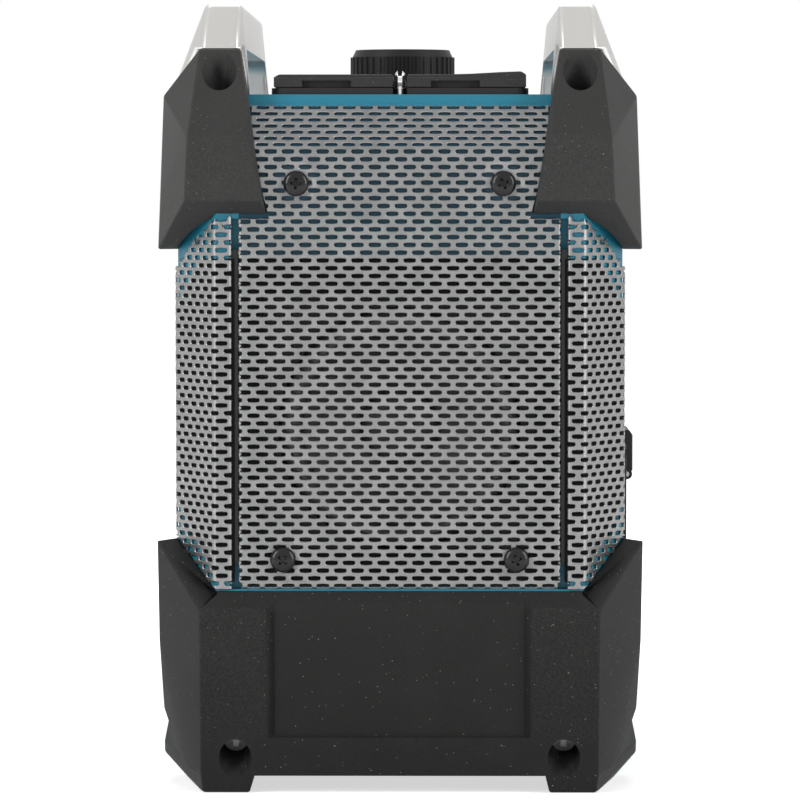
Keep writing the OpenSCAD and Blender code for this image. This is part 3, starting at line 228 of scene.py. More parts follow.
def textured_plastic(name, base, roughness, depth=0.02 * MM, size=0.5 * MM):
    """Moulded plastic with a fine spark-eroded texture and slight wear in its gloss."""
    paint = Paint(name, base, roughness, specular_ior_level=0.3)
    grain = paint.noise(size, 2.0, 0.6)
    cloud = paint.noise(28 * MM, 2.0)
    paint.set("Base Color", paint.mix(cloud * 0.35 + grain * 0.15, base, [c * 1.25 + 0.002 for c in base]))
    paint.set("Roughness", roughness - 0.06 + cloud * 0.1 + grain * 0.08)
    paint.bump(grain, depth, 0.8)
    return paint.material


# the region behind the punched sheets where the teal gets painted shade
COVERED_Y = 137.2 * MM     # the cap's end face, just inside its surface
COVERED_HALF = 62.2 * MM   # half width of what the end sheet covers
COVERED_Z = (79.5 * MM, 265.5 * MM)
SLOPE_Z = 249.5 * MM       # where the cap starts to lean back
SLOPE_RUN = 0.7536         # and how far it leans for each unit of height


def teal_moulding(name, base):
    """The body's teal plastic; where a punched sheet covers it, it is matter and much darker, in painted
    shade.
    """
    paint = Paint(name, base, 0.4)
    grain = paint.noise(0.5 * MM, 2.0, 0.6)
    cloud = paint.noise(28 * MM, 2.0)
    end = paint.part(1).size()
    across = paint.part(0).size()
    height = paint.part(2)
    slope = (height - SLOPE_Z).maths("MAXIMUM", 0.0) * SLOPE_RUN
    # painted shade: 1 where a punched sheet covers the teal
    behind = ((end > COVERED_Y - slope) * (across < COVERED_HALF)
              * (height < COVERED_Z[1]) * (height > COVERED_Z[0]))
    face = paint.mix(cloud * 0.3 + grain * 0.15, base, [c * 1.25 + 0.002 for c in base])
    # the dark teal is painted shade behind the punched sheets
    paint.set("Base Color", paint.mix(behind, face, (0.002, 0.035, 0.06)))
    paint.set("Roughness", 0.34 + cloud * 0.1 + grain * 0.08 + behind * 0.3)
    paint.bump(grain, 0.02 * MM, 0.8)
    return paint.material


def zinc_sheet(name):
    """Zinc-coated steel sheet: dull silver with soft clouds and fine rolling marks."""
    paint = Paint(name, (0.5, 0.5, 0.5), 0.4, 0.92)
    cloud = paint.noise(9 * MM, 3.0, 0.6)
    grain = paint.noise(0.5 * MM, 2.0)
    paint.set("Base Color", paint.mix(cloud * 0.6 + grain * 0.25, (0.14, 0.142, 0.145), (0.4, 0.4, 0.397)))
    paint.set("Roughness", 0.27 + cloud * 0.12 + grain * 0.1)
    paint.bump(grain, 0.012 * MM, 0.5)
    return paint.material


def satin_metal(name):
    """Satin silver finish of the roll bars, with a very fine grain."""
    paint = Paint(name, (0.6, 0.59, 0.57), 0.4, 0.86)
    grain = paint.noise(0.35 * MM, 2.0, 0.6)
    cloud = paint.noise(30 * MM, 2.0)
    scuff = paint.noise(2.2 * MM, 4.0, 0.7).smooth(0.68, 0.8)
    paint.set("Base Color", paint.mix(grain * 0.25 + cloud * 0.2, (0.52, 0.512, 0.498), (0.66, 0.65, 0.632)))
    paint.set("Roughness", 0.34 + grain * 0.1 + scuff * 0.12)
    paint.bump(grain, 0.01 * MM, 0.5)
    return paint.material


def plain_metal(name, base, roughness, size=0.6 * MM):
    """Bare or plated metal with fine handling marks."""
    paint = Paint(name, base, roughness, 1.0)
    marks = paint.noise(size, 4.0, 0.65)
    cloud = paint.noise(8 * MM, 2.0)
    paint.set("Base Color", paint.mix(cloud * 0.4, base, [c * 0.82 for c in base]))
    paint.set("Roughness", roughness - 0.03 + marks * 0.1)
    paint.bump(marks, 0.004 * MM, 0.4)
    return paint.material


def glossy_black(name):
    """Black plated screw heads with faint scuffs."""
    paint = Paint(name, (0.008, 0.008, 0.009), 0.22, specular_ior_level=0.35)
    scuff = paint.noise(0.9 * MM, 3.0, 0.6)
    paint.set("Roughness", 0.16 + scuff * 0.14)
    paint.set("Base Color", paint.mix(scuff.smooth(0.55, 0.8) * 0.4,
                                      (0.006, 0.006, 0.007), (0.03, 0.03, 0.03)))
    paint.bump(scuff, 0.006 * MM, 0.4)
    return paint.material


def pressed_paper(name):
    """Dark pressed paper of the loudspeaker cones, with short fibres."""
    paint = Paint(name, (0.045, 0.045, 0.043), 0.5)
    fibre = paint.noise(1.1 * MM, 5.0, 0.7)
    paint.set("Base Color", paint.mix(fibre, (0.035, 0.035, 0.034), (0.1, 0.098, 0.094)))
    paint.set("Roughness", 0.36 + fibre * 0.2)
    paint.bump(fibre, 0.06 * MM, 0.6)
    return paint.material


def felt_and_shade_black(name):
    """Black felted acoustic cloth; the black sheets that stand in for the shade behind the punched sheets
    wear it too.
    """
    paint = Paint(name, (0.006, 0.006, 0.006), 0.95, specular_ior_level=0.1)
    fibre = paint.noise(0.5 * MM, 4.0, 0.7)
    paint.set("Base Color", paint.mix(fibre, (0.004, 0.004, 0.004), (0.012, 0.012, 0.012)))
    paint.bump(fibre, 0.08 * MM, 0.8)
    return paint.material


def circuit_board(name):
    """Green lacquered board with paler copper tracks under the lacquer."""
    paint = Paint(name, (0.01, 0.12, 0.05), 0.28)
    tracks = paint.node("ShaderNodeTexBrick", {"offset": 0.37}, {
        "Vector": paint.coords, "Scale": 90.0, "Mortar Size": 0.05,
        "Color1": (0.0, 0.0, 0.0), "Color2": (0.0, 0.0, 0.0), "Mortar": (1.0, 1.0, 1.0)})
    bright = paint.node("ShaderNodeSeparateColor", None, {"Color": tracks})
    paint.set("Base Color", paint.mix(bright * 0.6, (0.008, 0.1, 0.04), (0.03, 0.24, 0.1)))
    paint.bump(bright, 0.03 * MM, 0.5)
    return paint.material


def liquid_crystal(name):
    """Grey-green display panel with a fine dot grid."""
    paint = Paint(name, (0.2, 0.24, 0.18), 0.22)
    dots = paint.node("ShaderNodeTexBrick", {"offset": 0.0}, {
        "Vector": paint.coords, "Scale": 900.0, "Mortar Size": 0.03, "Brick Width": 0.5,
        "Row Height": 0.5, "Color1": (0.0, 0.0, 0.0), "Color2": (0.0, 0.0, 0.0),
        "Mortar": (1.0, 1.0, 1.0)})
    grid = paint.node("ShaderNodeSeparateColor", None, {"Color": dots})
    paint.set("Base Color", paint.mix(grid * 0.5 + paint.noise(20 * MM) * 0.2,
                                      (0.2, 0.24, 0.18), (0.12, 0.15, 0.12)))
    return paint.material


def clear_window(name):
    """Clear moulded window with a few hairline scratches in its gloss."""
    paint = Paint(name, (0.9, 0.93, 0.94), 0.04, 0.0, transmission_weight=1.0, ior=1.45)
    paint.set("Roughness", 0.02 + paint.noise(1.5 * MM, 4.0, 0.7).smooth(0.6, 0.9) * 0.12)
    return paint.material


BLACK_RUBBER = (0.027, 0.0268, 0.0262)
TEAL = (0.015, 0.21, 0.31)
finish = {
    "housing_plastic": teal_moulding("teal_moulding", TEAL),
    "grille_steel": zinc_sheet("zinc_sheet"),
    "trim_rubber": textured_plastic("black_strip", (0.014, 0.014, 0.015), 0.5),
    "black_screw": glossy_black("black_screw_skin"),
    "bumper_rubber": moulded_rubber("bumper_rubber", BLACK_RUBBER),
    "roll_bar_metal": satin_metal("satin_bar"),
    "fastener_steel": plain_metal("plain_steel", (0.42, 0.42, 0.43), 0.32),
    "speaker_frame": textured_plastic("painted_frame", (0.02, 0.02, 0.021), 0.4),
    # the black felted cloth also dresses the sheets that stand in for shade behind the punched sheets
    "felt_black": felt_and_shade_black("black_felt_and_shade"),
    "magnet_iron": plain_metal("dark_iron", (0.16, 0.16, 0.165), 0.5),
    "cone_paper": pressed_paper("cone_paper"),
    "black_plastic": textured_plastic("black_moulding", (0.011, 0.011, 0.0115), 0.46),
    "board_green": circuit_board("board_lacquer"),
    "display_panel": liquid_crystal("display_panel"),
    "display_glass": clear_window("display_window"),
    "knob_plastic": textured_plastic("knob_moulding", (0.005, 0.005, 0.0053), 0.44),
    "button_rubber": moulded_rubber("key_rubber", (0.016, 0.016, 0.0162), 0.02),
    "flap_rubber": moulded_rubber("flap_rubber", (0.024, 0.024, 0.0237), 0.04),
    "socket_metal": plain_metal("socket_shell", (0.6, 0.6, 0.6), 0.28),
    "antenna_metal": plain_metal("antenna_plating", (0.72, 0.72, 0.72), 0.16),
    "contact_brass": plain_metal("contact_brass", (0.78, 0.57, 0.24), 0.28),
}
SLOT_OF = {s["node"]: s["material_slot"] for s in frame["record"]["subparts"]}

# ---------------------------------------------------------------- modelling helpers


def only(obj):
    """Selects one object and makes it the active one."""
    bpy.ops.object.select_all(action="DESELECT")
    obj.select_set(True)
    bpy.context.view_layer.objects.active = obj


def edit(obj, kind="FACE"):
    """Opens an object for editing with nothing in it selected."""
    only(obj)
    bpy.ops.object.mode_set(mode="EDIT")
    bpy.ops.mesh.select_mode(type=kind)
    bpy.ops.mesh.select_all(action="DESELECT")


def done():
    bpy.ops.object.mode_set(mode="OBJECT")


def pick(obj, kind, test):
    """In edit mode, selects the vertices, edges or faces that pass the test."""
    bpy.ops.mesh.select_mode(type=kind)
    bpy.ops.mesh.select_all(action="DESELECT")
    shape = bmesh.from_edit_mesh(obj.data)
    shape.normal_update()
    for part in {"VERT": shape.verts, "EDGE": shape.edges, "FACE": shape.faces}[kind]:
        if test(part):
            part.select_set(True)
    bmesh.update_edit_mesh(obj.data)


def every():
    """In edit mode, selects the whole mesh."""
    bpy.ops.mesh.select_all(action="SELECT")


def apply(obj, kind, **settings):
    """Adds a modifier and applies it."""
    only(obj)
    modifier = obj.modifiers.new(kind.lower(), kind)
    for key, value in settings.items():
        setattr(modifier, key, value)
    bpy.ops.object.modifier_apply(modifier=modifier.name)


def wear(obj, *materials):
    """Gives an object these materials and nothing else."""
    obj.data.materials.clear()
    for material in materials:
        obj.data.materials.append(material)


def dress(obj, name, body, slot, *nodes, material=None, smooth=30):
    """Finishes a piece: its name, its material, its shading, and the nodes that it stands for."""
    obj.name = name
    obj.data.name = name
    wear(obj, material or finish[slot])
    only(obj)
    bpy.ops.object.shade_smooth_by_angle(angle=math.radians(smooth))
    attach(obj, body)
    if nodes:
        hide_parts(*nodes)
    return obj


def copy_of(node):
    """A merged copy of a CAD node's mesh, with its flat faces made whole."""
    only(NODES[node])
    bpy.ops.object.duplicate()
    piece = bpy.context.view_layer.objects.active
    piece.parent = None
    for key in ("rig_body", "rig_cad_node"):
        del piece[key]
    edit(piece, "VERT")
    every()
    bpy.ops.mesh.remove_doubles(threshold=2e-6)
    bpy.ops.mesh.dissolve_limited(angle_limit=math.radians(0.5))
    done()
    return piece


def outer_edge(edge, low, high, shortest):
    """True for an outward edge that turns by an angle from low to high degrees."""
    if len(edge.link_faces) != 2 or edge.calc_length() < shortest:
        return False
    turn = math.degrees(edge.calc_face_angle_signed(0.0))
    return low <= turn <= high


def rounded(node, width, low=12, high=110, shortest=2.5 * MM, segments=3, smooth=35):
    """A copy of a CAD node with its long outward edges rounded, standing for the node."""
    piece = copy_of(node)
    edit(piece, "EDGE")
    pick(piece, "EDGE", lambda e: outer_edge(e, low, high, shortest))
    bpy.ops.mesh.bevel(offset=width, segments=segments, profile=0.5, affect="EDGES",
                       clamp_overlap=False)
    done()
    slot = SLOT_OF[node]
    dress(piece, node + "_rounded", NODES[node]["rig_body"], slot, node, smooth=smooth)
    # the large faces keep their own direction, and only the roundings shade softly
    apply(piece, "WEIGHTED_NORMAL", weight=100, keep_sharp=True)
    return piece


# ---------------------------------------------------------------- the CAD pieces that stay

for node, obj in NODES.items():
    wear(obj, finish[SLOT_OF[node]])

# ---------------------------------------------------------------- bumpers and bars

TOP_BUMPERS = ("front_right_top_bumper", "rear_right_top_bumper",
               "front_left_top_bumper", "rear_left_top_bumper")
BASE_BUMPERS = ("right_base_bumper", "left_base_bumper")
for node in TOP_BUMPERS:
    rounded(node, 0.7 * MM, low=14, high=100, shortest=6 * MM)
for node in BASE_BUMPERS:
    rounded(node, 0.8 * MM, low=14, high=100, shortest=6 * MM)
for node in ("front_roll_bar", "rear_roll_bar"):
    rounded(node, 2.2 * MM, low=14, high=130, shortest=6 * MM, segments=4)

for node in ("line_in_flap", "charge_flap"):
    rounded(node, 0.5 * MM, low=20, high=100, shortest=3 * MM, segments=2)
for node in ("battery_door", "door_latch"):
    rounded(node, 0.6 * MM, low=40, high=100, shortest=3 * MM, segments=2)

# ---------------------------------------------------------------- grilles

PITCH = 6.71 * MM          # from slot to slot along a row
ROW = 3.0 * MM             # from row to row; each row is shifted by half a pitch
SLOT_R = 0.84 * MM         # of a slot's round ends
SLOT_HALF = 1.58 * MM      # from a slot's middle to the centre of a round end
RIM = 0.22 * MM            # rounding of the punched edges
SHEET = 0.8 * MM
SHEET_Y = -139.1 * MM      # outer face of the right end grille
SHEET_Z = 78.5 * MM        # bottom edge of the grilles
FOLD_STEP = 0.7 * MM       # between the scored lines of a rounded fold
FOLD_DRAW = 0.96 * MM      # what a fold of a right angle takes from the width
FLANGE = 2.0 * MM

END_HALF = 62.3 * MM
END_FOLD = END_HALF - FOLD_DRAW
END_TALL = 191.0 * MM      # from the bottom edge to the upper end of the slope, along the sheet
END_BEND = 170.3 * MM
END_LEAN = 37
TIP = 143.4 * MM           # height above the bottom edge at which the bumpers' tips begin
TIP_HALF = 50.4 * MM
NECK_HALF = 57.6 * MM
ROLL = 1.2 * MM            # where the bottom edge starts to roll back
ROLL_END = -1.9 * MM       # and where the sheet ends, before it is rolled
NOTCH = 2.6 * MM           # height of the notches that keep the roll clear of the folded sides
NOTCH_HALF = END_FOLD - 0.1 * MM
SCREWS = ((40.0 * MM, 235.4 * MM), (45.2 * MM, 90.0 * MM))
DISH_R = 5.2 * MM
DISH_WALL = 3.9 * MM
DISH_DEPTH = 0.9 * MM

CORNER_INNER = 64.8 * MM
CORNER_FLANGE = 1.6 * MM
CORNER_STEP = 0.8 * MM
CORNER_FOLDS = ((39.3, 29.7, 2), (6.0, 60.3, 3))     # distance along the sheet, degrees, steps
CORNER_LOW = ((6.2, 0.0), (42.0, 20.1))
CORNER_HIGH = ((-3.0, 143.6), (6.2, 143.1), (20.7, 136.5), (29.3, 131.0), (44.3, 121.6))
CORNER_END = 44.3 * MM


def slot_tile():
    """One cell of the sheet's front skin, lying flat: a plate with a slot through it."""
    bpy.ops.mesh.primitive_circle_add(vertices=10, radius=SLOT_R, fill_type="NOTHING")
    tile = bpy.context.object
    edit(tile, "VERT")
    for side in (-1, 1):
        pick(tile, "VERT", lambda v: v.co.x * side > 0)
        bpy.ops.transform.translate(value=(side * SLOT_HALF, 0, 0))
    bpy.ops.mesh.select_all(action="DESELECT")
    bpy.ops.mesh.primitive_plane_add(size=1)
    bpy.ops.transform.resize(value=(PITCH, ROW, 1))
    bpy.ops.mesh.delete(type="ONLY_FACE")
    # a corner in the middle of each long side, where the next row's cells meet
    pick(tile, "EDGE", lambda e: abs(e.verts[0].co.x - e.verts[1].co.x) > 0.9 * PITCH)
    bpy.ops.mesh.subdivide(number_cuts=1)
    every()
    bpy.ops.mesh.fill()
    done()
    return tile


def plate(columns, pairs, shift):
    """A flat skin of staggered rows; shift moves it from the middle of its first row's lower edge."""
    tile = slot_tile()
    apply(tile, "ARRAY", count=columns, use_relative_offset=False, use_constant_offset=True,
          constant_offset_displace=(PITCH, 0, 0), use_merge_vertices=True, merge_threshold=1e-6)
    edit(tile, "VERT")
    every()
    bpy.ops.transform.translate(value=(shift[0] - PITCH * (columns - 1) / 2, shift[1] + ROW / 2, 0))
    bpy.ops.mesh.duplicate_move(TRANSFORM_OT_translate={"value": (PITCH / 2, ROW, 0)})
    every()
    bpy.ops.mesh.remove_doubles(threshold=1e-6)
    done()
    apply(tile, "ARRAY", count=pairs, use_relative_offset=False, use_constant_offset=True,
          constant_offset_displace=(0, 2 * ROW, 0), use_merge_vertices=True, merge_threshold=1e-6)
    return tile


def score(piece, point, normal, test=None):
    """Draws a line across the sheet, or across the faces that pass the test."""
    pick(piece, "FACE", test or (lambda f: True))
    bpy.ops.mesh.bisect(plane_co=point, plane_no=normal, use_fill=False, threshold=1e-7)


def drop_faces(piece, test):
    """Deletes the faces whose middle passes the test."""
    pick(piece, "FACE", lambda f: test(f.calc_center_median()))
    bpy.ops.mesh.delete(type="FACE")


def thicken(sheet):
    """Gives the trimmed skin its thickness and rounds the edges on its outer side."""
    if sheet.data.polygons[0].normal.z < 0:
        edit(sheet)
        every()
        bpy.ops.mesh.flip_normals()
        done()
    apply(sheet, "SOLIDIFY", thickness=SHEET, offset=-1, use_even_offset=True, use_rim=True)

    def outer_rim(e):
        faces = e.link_faces
        return len(faces) == 2 and max(f.normal.z for f in faces) > 0.9 > 0.1 > abs(
            min(f.normal.z for f in faces))
    edit(sheet, "EDGE")
    pick(sheet, "EDGE", outer_rim)
    bpy.ops.mesh.bevel(offset=RIM, segments=1, affect="EDGES", clamp_overlap=False)
    done()


def fold(sheet, axis, first, side, degrees, steps=3, step=FOLD_STEP):
    """Folds the sheet back beyond a line, in a few small turns, the outermost first.

    The line lies along that axis, at that distance from it, and side says which way is beyond.
    """
    across = 0 if axis == "Y" else 1
    normal = (1, 0, 0) if axis == "Y" else (0, 1, 0)
    turn = side if axis == "Y" else -side
    lines = [first + side * step * i for i in range(steps)]
    for line in lines:
        score(sheet, [line * c for c in normal], normal)
    for line in reversed(lines):
        pick(sheet, "VERT", lambda v: (v.co[across] - line) * side > 1e-6)
        # with no window this operator turns the other way
        bpy.ops.transform.rotate(value=math.radians(-turn * degrees / steps), orient_axis=axis,
                                 center_override=[line * c for c in normal])


def press_dish(sheet, x, y):
    """Presses the dish that a screw head sits in."""
    middle = Vector((x, y, 0))

    def away(point):
        return (point.xy - middle.xy).length
    pick(sheet, "FACE", lambda f: away(f.calc_center_median()) < DISH_R + DISH_WALL + 1.2 * MM)
    bpy.ops.mesh.subdivide(number_cuts=1)
    pick(sheet, "VERT", lambda v: away(v.co) < DISH_R)
    bpy.ops.transform.translate(
        value=(0, 0, -DISH_DEPTH), use_proportional_edit=True,
        proportional_edit_falloff="SMOOTH", proportional_size=DISH_WALL)


def stand_up(sheet, x):
    """Stands the finished sheet on the right end, with its origin at x and the bottom edge."""
    only(sheet)
    sheet.rotation_euler.x = math.radians(90)
    sheet.location = (x, SHEET_Y, SHEET_Z)
    bpy.ops.object.transform_apply(location=True, rotation=True, scale=True)


def second(piece, angle=180, flip=False):
    """A copy with its own mesh, turned about the radio's upright axis or mirrored front to rear."""
    only(piece)
    bpy.ops.object.duplicate()
    other = bpy.context.view_layer.objects.active
    other.rotation_euler.z = math.radians(angle)
    if flip:
        other.scale.x = -1
    bpy.ops.object.transform_apply(location=True, rotation=True, scale=True)
    if flip:
        edit(other)
        every()
        bpy.ops.mesh.normals_make_consistent(inside=False)
        done()
    return other


def end_grille():
    """The sheet over the loudspeaker: made flat, trimmed, dished, folded and stood up."""
    sheet = plate(columns=21, pairs=33, shift=(0.52 * MM, -3.2 * MM))
    reach = END_FOLD + 2 * FOLD_STEP + FLANGE
    edit(sheet)
    for y in (ROLL_END, NOTCH, TIP, END_TALL, END_BEND):
        score(sheet, (0, y, 0), (0, 1, 0))
    rise = END_BEND - TIP
    for side in (-1, 1):
        score(sheet, (side * reach, 0, 0), (1, 0, 0))
        score(sheet, (side * NOTCH_HALF, 0, 0), (1, 0, 0), lambda f: f.calc_center_median().y < NOTCH)
        score(sheet, (side * NECK_HALF, 0, 0), (1, 0, 0), lambda f: f.calc_center_median().y > END_BEND)
        score(sheet, (side * TIP_HALF, TIP, 0), (rise, -side * (NECK_HALF - TIP_HALF), 0),
              lambda f: TIP < f.calc_center_median().y < END_BEND)

    def outside(p):
        x, y = abs(p.x), p.y
        if not ROLL_END < y < END_TALL:
            return True
        if y < NOTCH:
            return x > NOTCH_HALF
        if y < TIP:
            return x > reach
        if y < END_BEND:
            return x > TIP_HALF + (NECK_HALF - TIP_HALF) * (y - TIP) / rise
        return x > NECK_HALF
    drop_faces(sheet, outside)
    done()
    thicken(sheet)
    edit(sheet)
    for x, z in SCREWS:
        for side in (-1, 1):
            press_dish(sheet, side * x, z - SHEET_Z)
    for side in (-1, 1):
        fold(sheet, "Y", side * END_FOLD, side, 90)
    fold(sheet, "X", ROLL, -1, 90)
    fold(sheet, "X", END_BEND, 1, END_LEAN)
    done()
    stand_up(sheet, 0)
    return sheet


def corner_grille():
    """The strip that wraps round the front right corner; it runs from its inner edge along -x."""
    sheet = plate(columns=8, pairs=25, shift=(-20.885 * MM, -2.24 * MM))
    lines = [CORNER_LOW] + list(zip(CORNER_HIGH, CORNER_HIGH[1:]))
    inner = 2 * FOLD_STEP - FOLD_DRAW + CORNER_FLANGE
    edit(sheet)
    for x in (inner, -CORNER_END):
        score(sheet, (x, 0, 0), (1, 0, 0))
    score(sheet, (0, 0, 0), (0, 1, 0))
    for one, two in lines:
        run, rise = two[0] - one[0], two[1] - one[1]
        score(sheet, (-one[0] * MM, one[1] * MM, 0), (rise, run, 0))

    def outside(p):
        if not -CORNER_END < p.x < inner or p.y < 0:
            return True
        for one, two in lines:
            level = one[1] + (two[1] - one[1]) * (-p.x / MM - one[0]) / (two[0] - one[0])
            if (p.y / MM < level) == (one is CORNER_LOW[0]):
                return True
        return False
    drop_faces(sheet, outside)
    done()
    thicken(sheet)
    edit(sheet)
    for place, degrees, steps in CORNER_FOLDS:
        fold(sheet, "Y", -place * MM, -1, degrees, steps, CORNER_STEP)
    fold(sheet, "Y", -FOLD_DRAW, 1, 90)
    done()
    stand_up(sheet, -CORNER_INNER)
    return sheet


# black sheets just behind the punched sheets, which stand in for the shade inside the radio
SHADE_SHEET_BACK = -0.9 * MM      # just behind the back of a sheet
SHADE_SHEET_THICK = 0.12 * MM
SHADE_SHEET_HALF = 61 * MM
SHADE_SHEET_LOW = 1.5 * MM
SHADE_SHEET_INSET = 0.8 * MM      # between the shade sheet's slanted edges and the punched sheet's
END_WINDOW = (52.6 * MM, 13.5 * MM, 114.5 * MM)      # half width, low and high edge of the opening
END_SHADE_SHEET_TOP = 129.3 * MM
CORNER_SHADE_SHEET = ((-1.0, 3.0), (43.0, 128.0))


def shade_strip(low, high):
    """A flat black strip between two corners, lying just behind the punched sheet, where it stands in for
    shade.
    """
    bpy.ops.mesh.primitive_plane_add(size=1)
    shade_sheet = bpy.context.object
    edit(shade_sheet, "VERT")
    every()
    bpy.ops.transform.resize(value=(high[0] - low[0], high[1] - low[1], 1))
    bpy.ops.transform.translate(value=((low[0] + high[0]) / 2, (low[1] + high[1]) / 2, SHADE_SHEET_BACK))
    return shade_sheet


def end_shade_sheet():
    """The black sheet round the loudspeaker's opening, standing in for the shade behind the punched sheet.
    """
    half, low, high = END_WINDOW
    shade_sheet = shade_strip((-SHADE_SHEET_HALF, SHADE_SHEET_LOW), (SHADE_SHEET_HALF, END_SHADE_SHEET_TOP))
    for x in (-half, half):
        score(shade_sheet, (x, 0, 0), (1, 0, 0))
    for y in (low, high):
        score(shade_sheet, (0, y, 0), (0, 1, 0))
    drop_faces(shade_sheet, lambda p: abs(p.x) < half and low < p.y < high)
    done()
    apply(shade_sheet, "SOLIDIFY", thickness=SHADE_SHEET_THICK, offset=-1)
    stand_up(shade_sheet, 0)
    return shade_sheet


def corner_shade_sheet():
    """The black sheet behind a corner grille, standing in for the shade there, folded as the punched sheet
    is.
    """
    (inner, low), (outer, high) = CORNER_SHADE_SHEET
    shade_sheet = shade_strip((-outer * MM, low * MM), (-inner * MM, high * MM))
    for one, two in [CORNER_LOW] + list(zip(CORNER_HIGH[1:], CORNER_HIGH[2:])):
        run, rise = two[0] - one[0], two[1] - one[1]
        every()
        side = 1 if one is CORNER_LOW[0] else -1
        bpy.ops.mesh.bisect(plane_co=(-one[0] * MM, one[1] * MM + side * SHADE_SHEET_INSET, 0),
                            plane_no=(-side * rise, -side * run, 0), clear_outer=True, threshold=1e-7)
    done()
    apply(shade_sheet, "SOLIDIFY", thickness=SHADE_SHEET_THICK, offset=-1)
    edit(shade_sheet)
    for place, degrees, steps in CORNER_FOLDS:
        fold(shade_sheet, "Y", -place * MM, -1, degrees, steps, CORNER_STEP)
    done()
    stand_up(shade_sheet, -CORNER_INNER)
    return shade_sheet


grille = end_grille()
corner = corner_grille()
rear_corner = second(corner, 0, flip=True)
for piece, node in ((grille, "right_end_grille"), (second(grille), "left_end_grille"),
                    (corner, "front_right_corner_grille"), (rear_corner, "rear_right_corner_grille"),
                    (second(corner), "rear_left_corner_grille"),
                    (second(rear_corner), "front_left_corner_grille")):
    dress(piece, node + "_punched", NODES[node]["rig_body"], "grille_steel", node, smooth=32)


# black sheets that put painted shade behind the punched sheets
shade_sheet = end_shade_sheet()
side_shade_sheet = corner_shade_sheet()
rear_shade_sheet = second(side_shade_sheet, 0, flip=True)
for count, piece in enumerate((shade_sheet, second(shade_sheet), side_shade_sheet, rear_shade_sheet, second(side_shade_sheet),
                               second(rear_shade_sheet))):
    dress(piece, f"grille_shade_sheet_{count}", NODES["right_end_grille"]["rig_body"], "trim_rubber",
          material=finish["felt_black"])


# ---------------------------------------------------------------- grille screws

HEAD = ((0, 0), (4.7, 0), (4.9, 0.25), (4.9, 0.9), (4.72, 1.5), (4.25, 2.1), (3.4, 2.55), (2.2, 2.85),
        (1.0, 2.97), (0, 3.0))     # half of a pan head's outline: radius and height in mm
HEAD_SEAT = 138.25 * MM    # how far out the heads stand
BLADE_TAPER = (0.6, 0.6, 1)


def lathe(profile, steps):
    """Turns a profile of (radius, height) in mm about the z axis: drawn corner by corner, then spun."""
    bpy.ops.mesh.primitive_plane_add(size=1 * MM)
    piece = bpy.context.object
    edit(piece, "VERT")
    every()
    bpy.ops.mesh.merge(type="CENTER")
    bpy.ops.transform.translate(value=(profile[0][0] * MM, 0, profile[0][1] * MM))
    for one, two in zip(profile, profile[1:]):
        move = ((two[0] - one[0]) * MM, 0, (two[1] - one[1]) * MM)
        bpy.ops.mesh.extrude_vertices_move(TRANSFORM_OT_translate={"value": move})
    every()
    bpy.ops.mesh.spin(steps=steps, angle=math.tau, center=(0, 0, 0), axis=(0, 0, 1))
    every()
    bpy.ops.mesh.remove_doubles(threshold=1e-6)
    bpy.ops.mesh.normals_make_consistent(inside=False)
    done()
    return piece


def cross_cutter(reach, width, low, high):
    """Two tapered blades at right angles, for a cross recess."""
    blades = []
    for angle in (0, 90):
        bpy.ops.mesh.primitive_cube_add(size=1, location=(0, 0, (low + high) / 2))
        blade = bpy.context.object
        blade.scale = (2 * reach, width, high - low)
        blade.rotation_euler.z = math.radians(angle)
        bpy.ops.object.transform_apply(location=True, rotation=True, scale=True)
        edit(blade, "VERT")
        pick(blade, "VERT", lambda v: v.co.z < (low + high) / 2)
        bpy.ops.transform.resize(value=BLADE_TAPER, center_override=(0, 0, low))
        done()
        blades.append(blade)
    return blades


def carve(piece, cutters):
    """Cuts the cutters out of a piece and removes them."""
    for cutter in cutters:
        apply(piece, "BOOLEAN", operation="DIFFERENCE", object=cutter, solver="EXACT")
        bpy.data.objects.remove(cutter)


def joined(pieces):
    """Makes one object of several."""
    only(pieces[0])
    for piece in pieces:
        piece.select_set(True)
    bpy.ops.object.join()
    return bpy.context.view_layer.objects.active


def placed(piece, place, turn=(0, 0, 0)):
    """A copy of a piece, turned by degrees about x, y and z and moved, with its own mesh."""
    only(piece)
    bpy.ops.object.duplicate()
    other = bpy.context.view_layer.objects.active
    other.rotation_euler = [math.radians(a) for a in turn]
    other.location = place
    bpy.ops.object.transform_apply(location=True, rotation=True, scale=True)
    return other


def spun(piece, angle):
    """Turns a piece further about its own axis by an angle in degrees."""
    only(piece)
    piece.rotation_euler.z = math.radians(angle)
    bpy.ops.object.transform_apply(location=True, rotation=True, scale=True)
    return piece


def add_grille_screws():
    """Eight pan heads with cross recesses that all stand differently."""
    head = lathe(HEAD, 40)
    carve(head, cross_cutter(2.3 * MM, 1.15 * MM, 1.5 * MM, 3.2 * MM))
    heads = []
    for end in (-1, 1):
        for count, (x, z) in enumerate(SCREWS):
            for side in (-1, 1):
                head = spun(head, 12 + 31 * count + 17 * side)
                heads.append(placed(head, (side * x, end * HEAD_SEAT, z), (-90 * end, 0, 0)))
    bpy.data.objects.remove(head)
    dress(joined(heads), "pan_screws", NODES["grille_screws"]["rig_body"], "black_screw",
          "grille_screws", smooth=40)


add_grille_screws()

# ---------------------------------------------------------------- stage and lights

WORLD_LIGHT = 0.16
LAMPS = (    # name, place, what it points at, width and height, watts
    ("left_box", (-1.15, -0.9, 0.8), (0, 0, 0.15), (0.5, 1.1), 13),
    ("right_box", (1.25, -0.75, 0.7), (0, 0, 0.15), (0.5, 1.1), 11),
    ("top_box", (0.0, 0.75, 1.35), (0, 0, 0.2), (1.2, 0.6), 9),
)

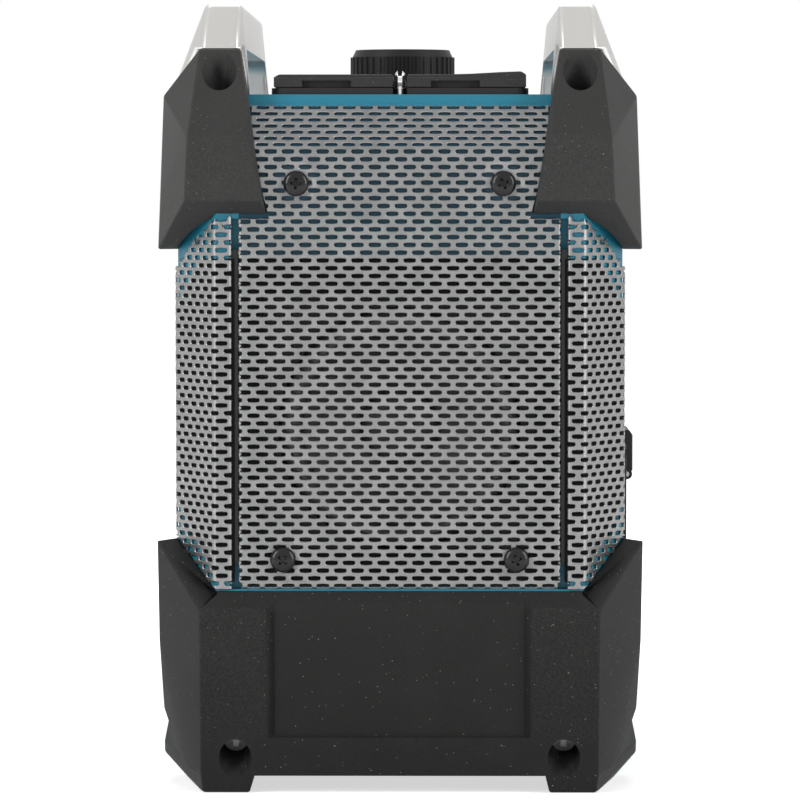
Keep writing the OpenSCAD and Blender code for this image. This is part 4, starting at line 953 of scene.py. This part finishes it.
def add_area(name, place, aim, size, watts):
    """A white softbox."""
    data = bpy.data.lights.new(name, "AREA")
    data.shape = "RECTANGLE"
    data.size, data.size_y = size
    data.energy = watts
    lamp = bpy.data.objects.new(name, data)
    bpy.context.scene.collection.objects.link(lamp)
    lamp.location = place
    lamp.rotation_mode = "QUATERNION"
    lamp.rotation_quaternion = (Vector(aim) - Vector(place)).to_track_quat("-Z", "Y")


def seen_rays(tree):
    """1 for rays from the camera, from a reflection and through glass, and 0 for light."""
    rays = tree.nodes.new("ShaderNodeLightPath")
    total = rays.outputs["Is Camera Ray"]
    for name in ("Is Glossy Ray", "Is Transmission Ray"):
        add = tree.nodes.new("ShaderNodeMath")
        add.operation = "MAXIMUM"
        tree.links.new(total, add.inputs[0])
        tree.links.new(rays.outputs[name], add.inputs[1])
        total = add.outputs[0]
    return total


def add_world():
    """White surroundings: white to the eye and in reflections, softer as light."""
    world = bpy.data.worlds.new("studio")
    bpy.context.scene.world = world
    world.use_nodes = True
    tree = world.node_tree
    sky = tree.nodes["Background"]
    sky.inputs["Color"].default_value = (1, 1, 1, 1)
    scale = tree.nodes.new("ShaderNodeMapRange")
    scale.inputs["To Min"].default_value = WORLD_LIGHT
    scale.inputs["To Max"].default_value = 1.0
    tree.links.new(seen_rays(tree), scale.inputs["Value"])
    tree.links.new(scale.outputs["Result"], sky.inputs["Strength"])


def add_floor():
    """A pale floor that runs into the white surroundings and keeps the radio's shadow."""
    bpy.ops.mesh.primitive_circle_add(vertices=96, radius=4.0, fill_type="NGON", location=(0, 0, -0.0002))
    floor = bpy.context.object
    floor.name = "floor"
    paint = Paint("pale_floor", (0.86, 0.86, 0.86), 0.9)
    far = paint.node("ShaderNodeVectorMath", {"operation": "LENGTH"}, {0: paint.coords}, out="Value")
    seen = Value(paint, seen_rays(paint.tree))
    paint.set("Emission Color", (1, 1, 1))
    paint.tree.links.new((seen * (0.62 + far.smooth(0.25, 0.8) * 0.5)).socket,
                         paint.shader.inputs["Emission Strength"])
    wear(floor, paint.material)


bpy.context.scene.view_settings.view_transform = "Standard"
add_world()
add_floor()
for lamp in LAMPS:
    add_area(*lamp)
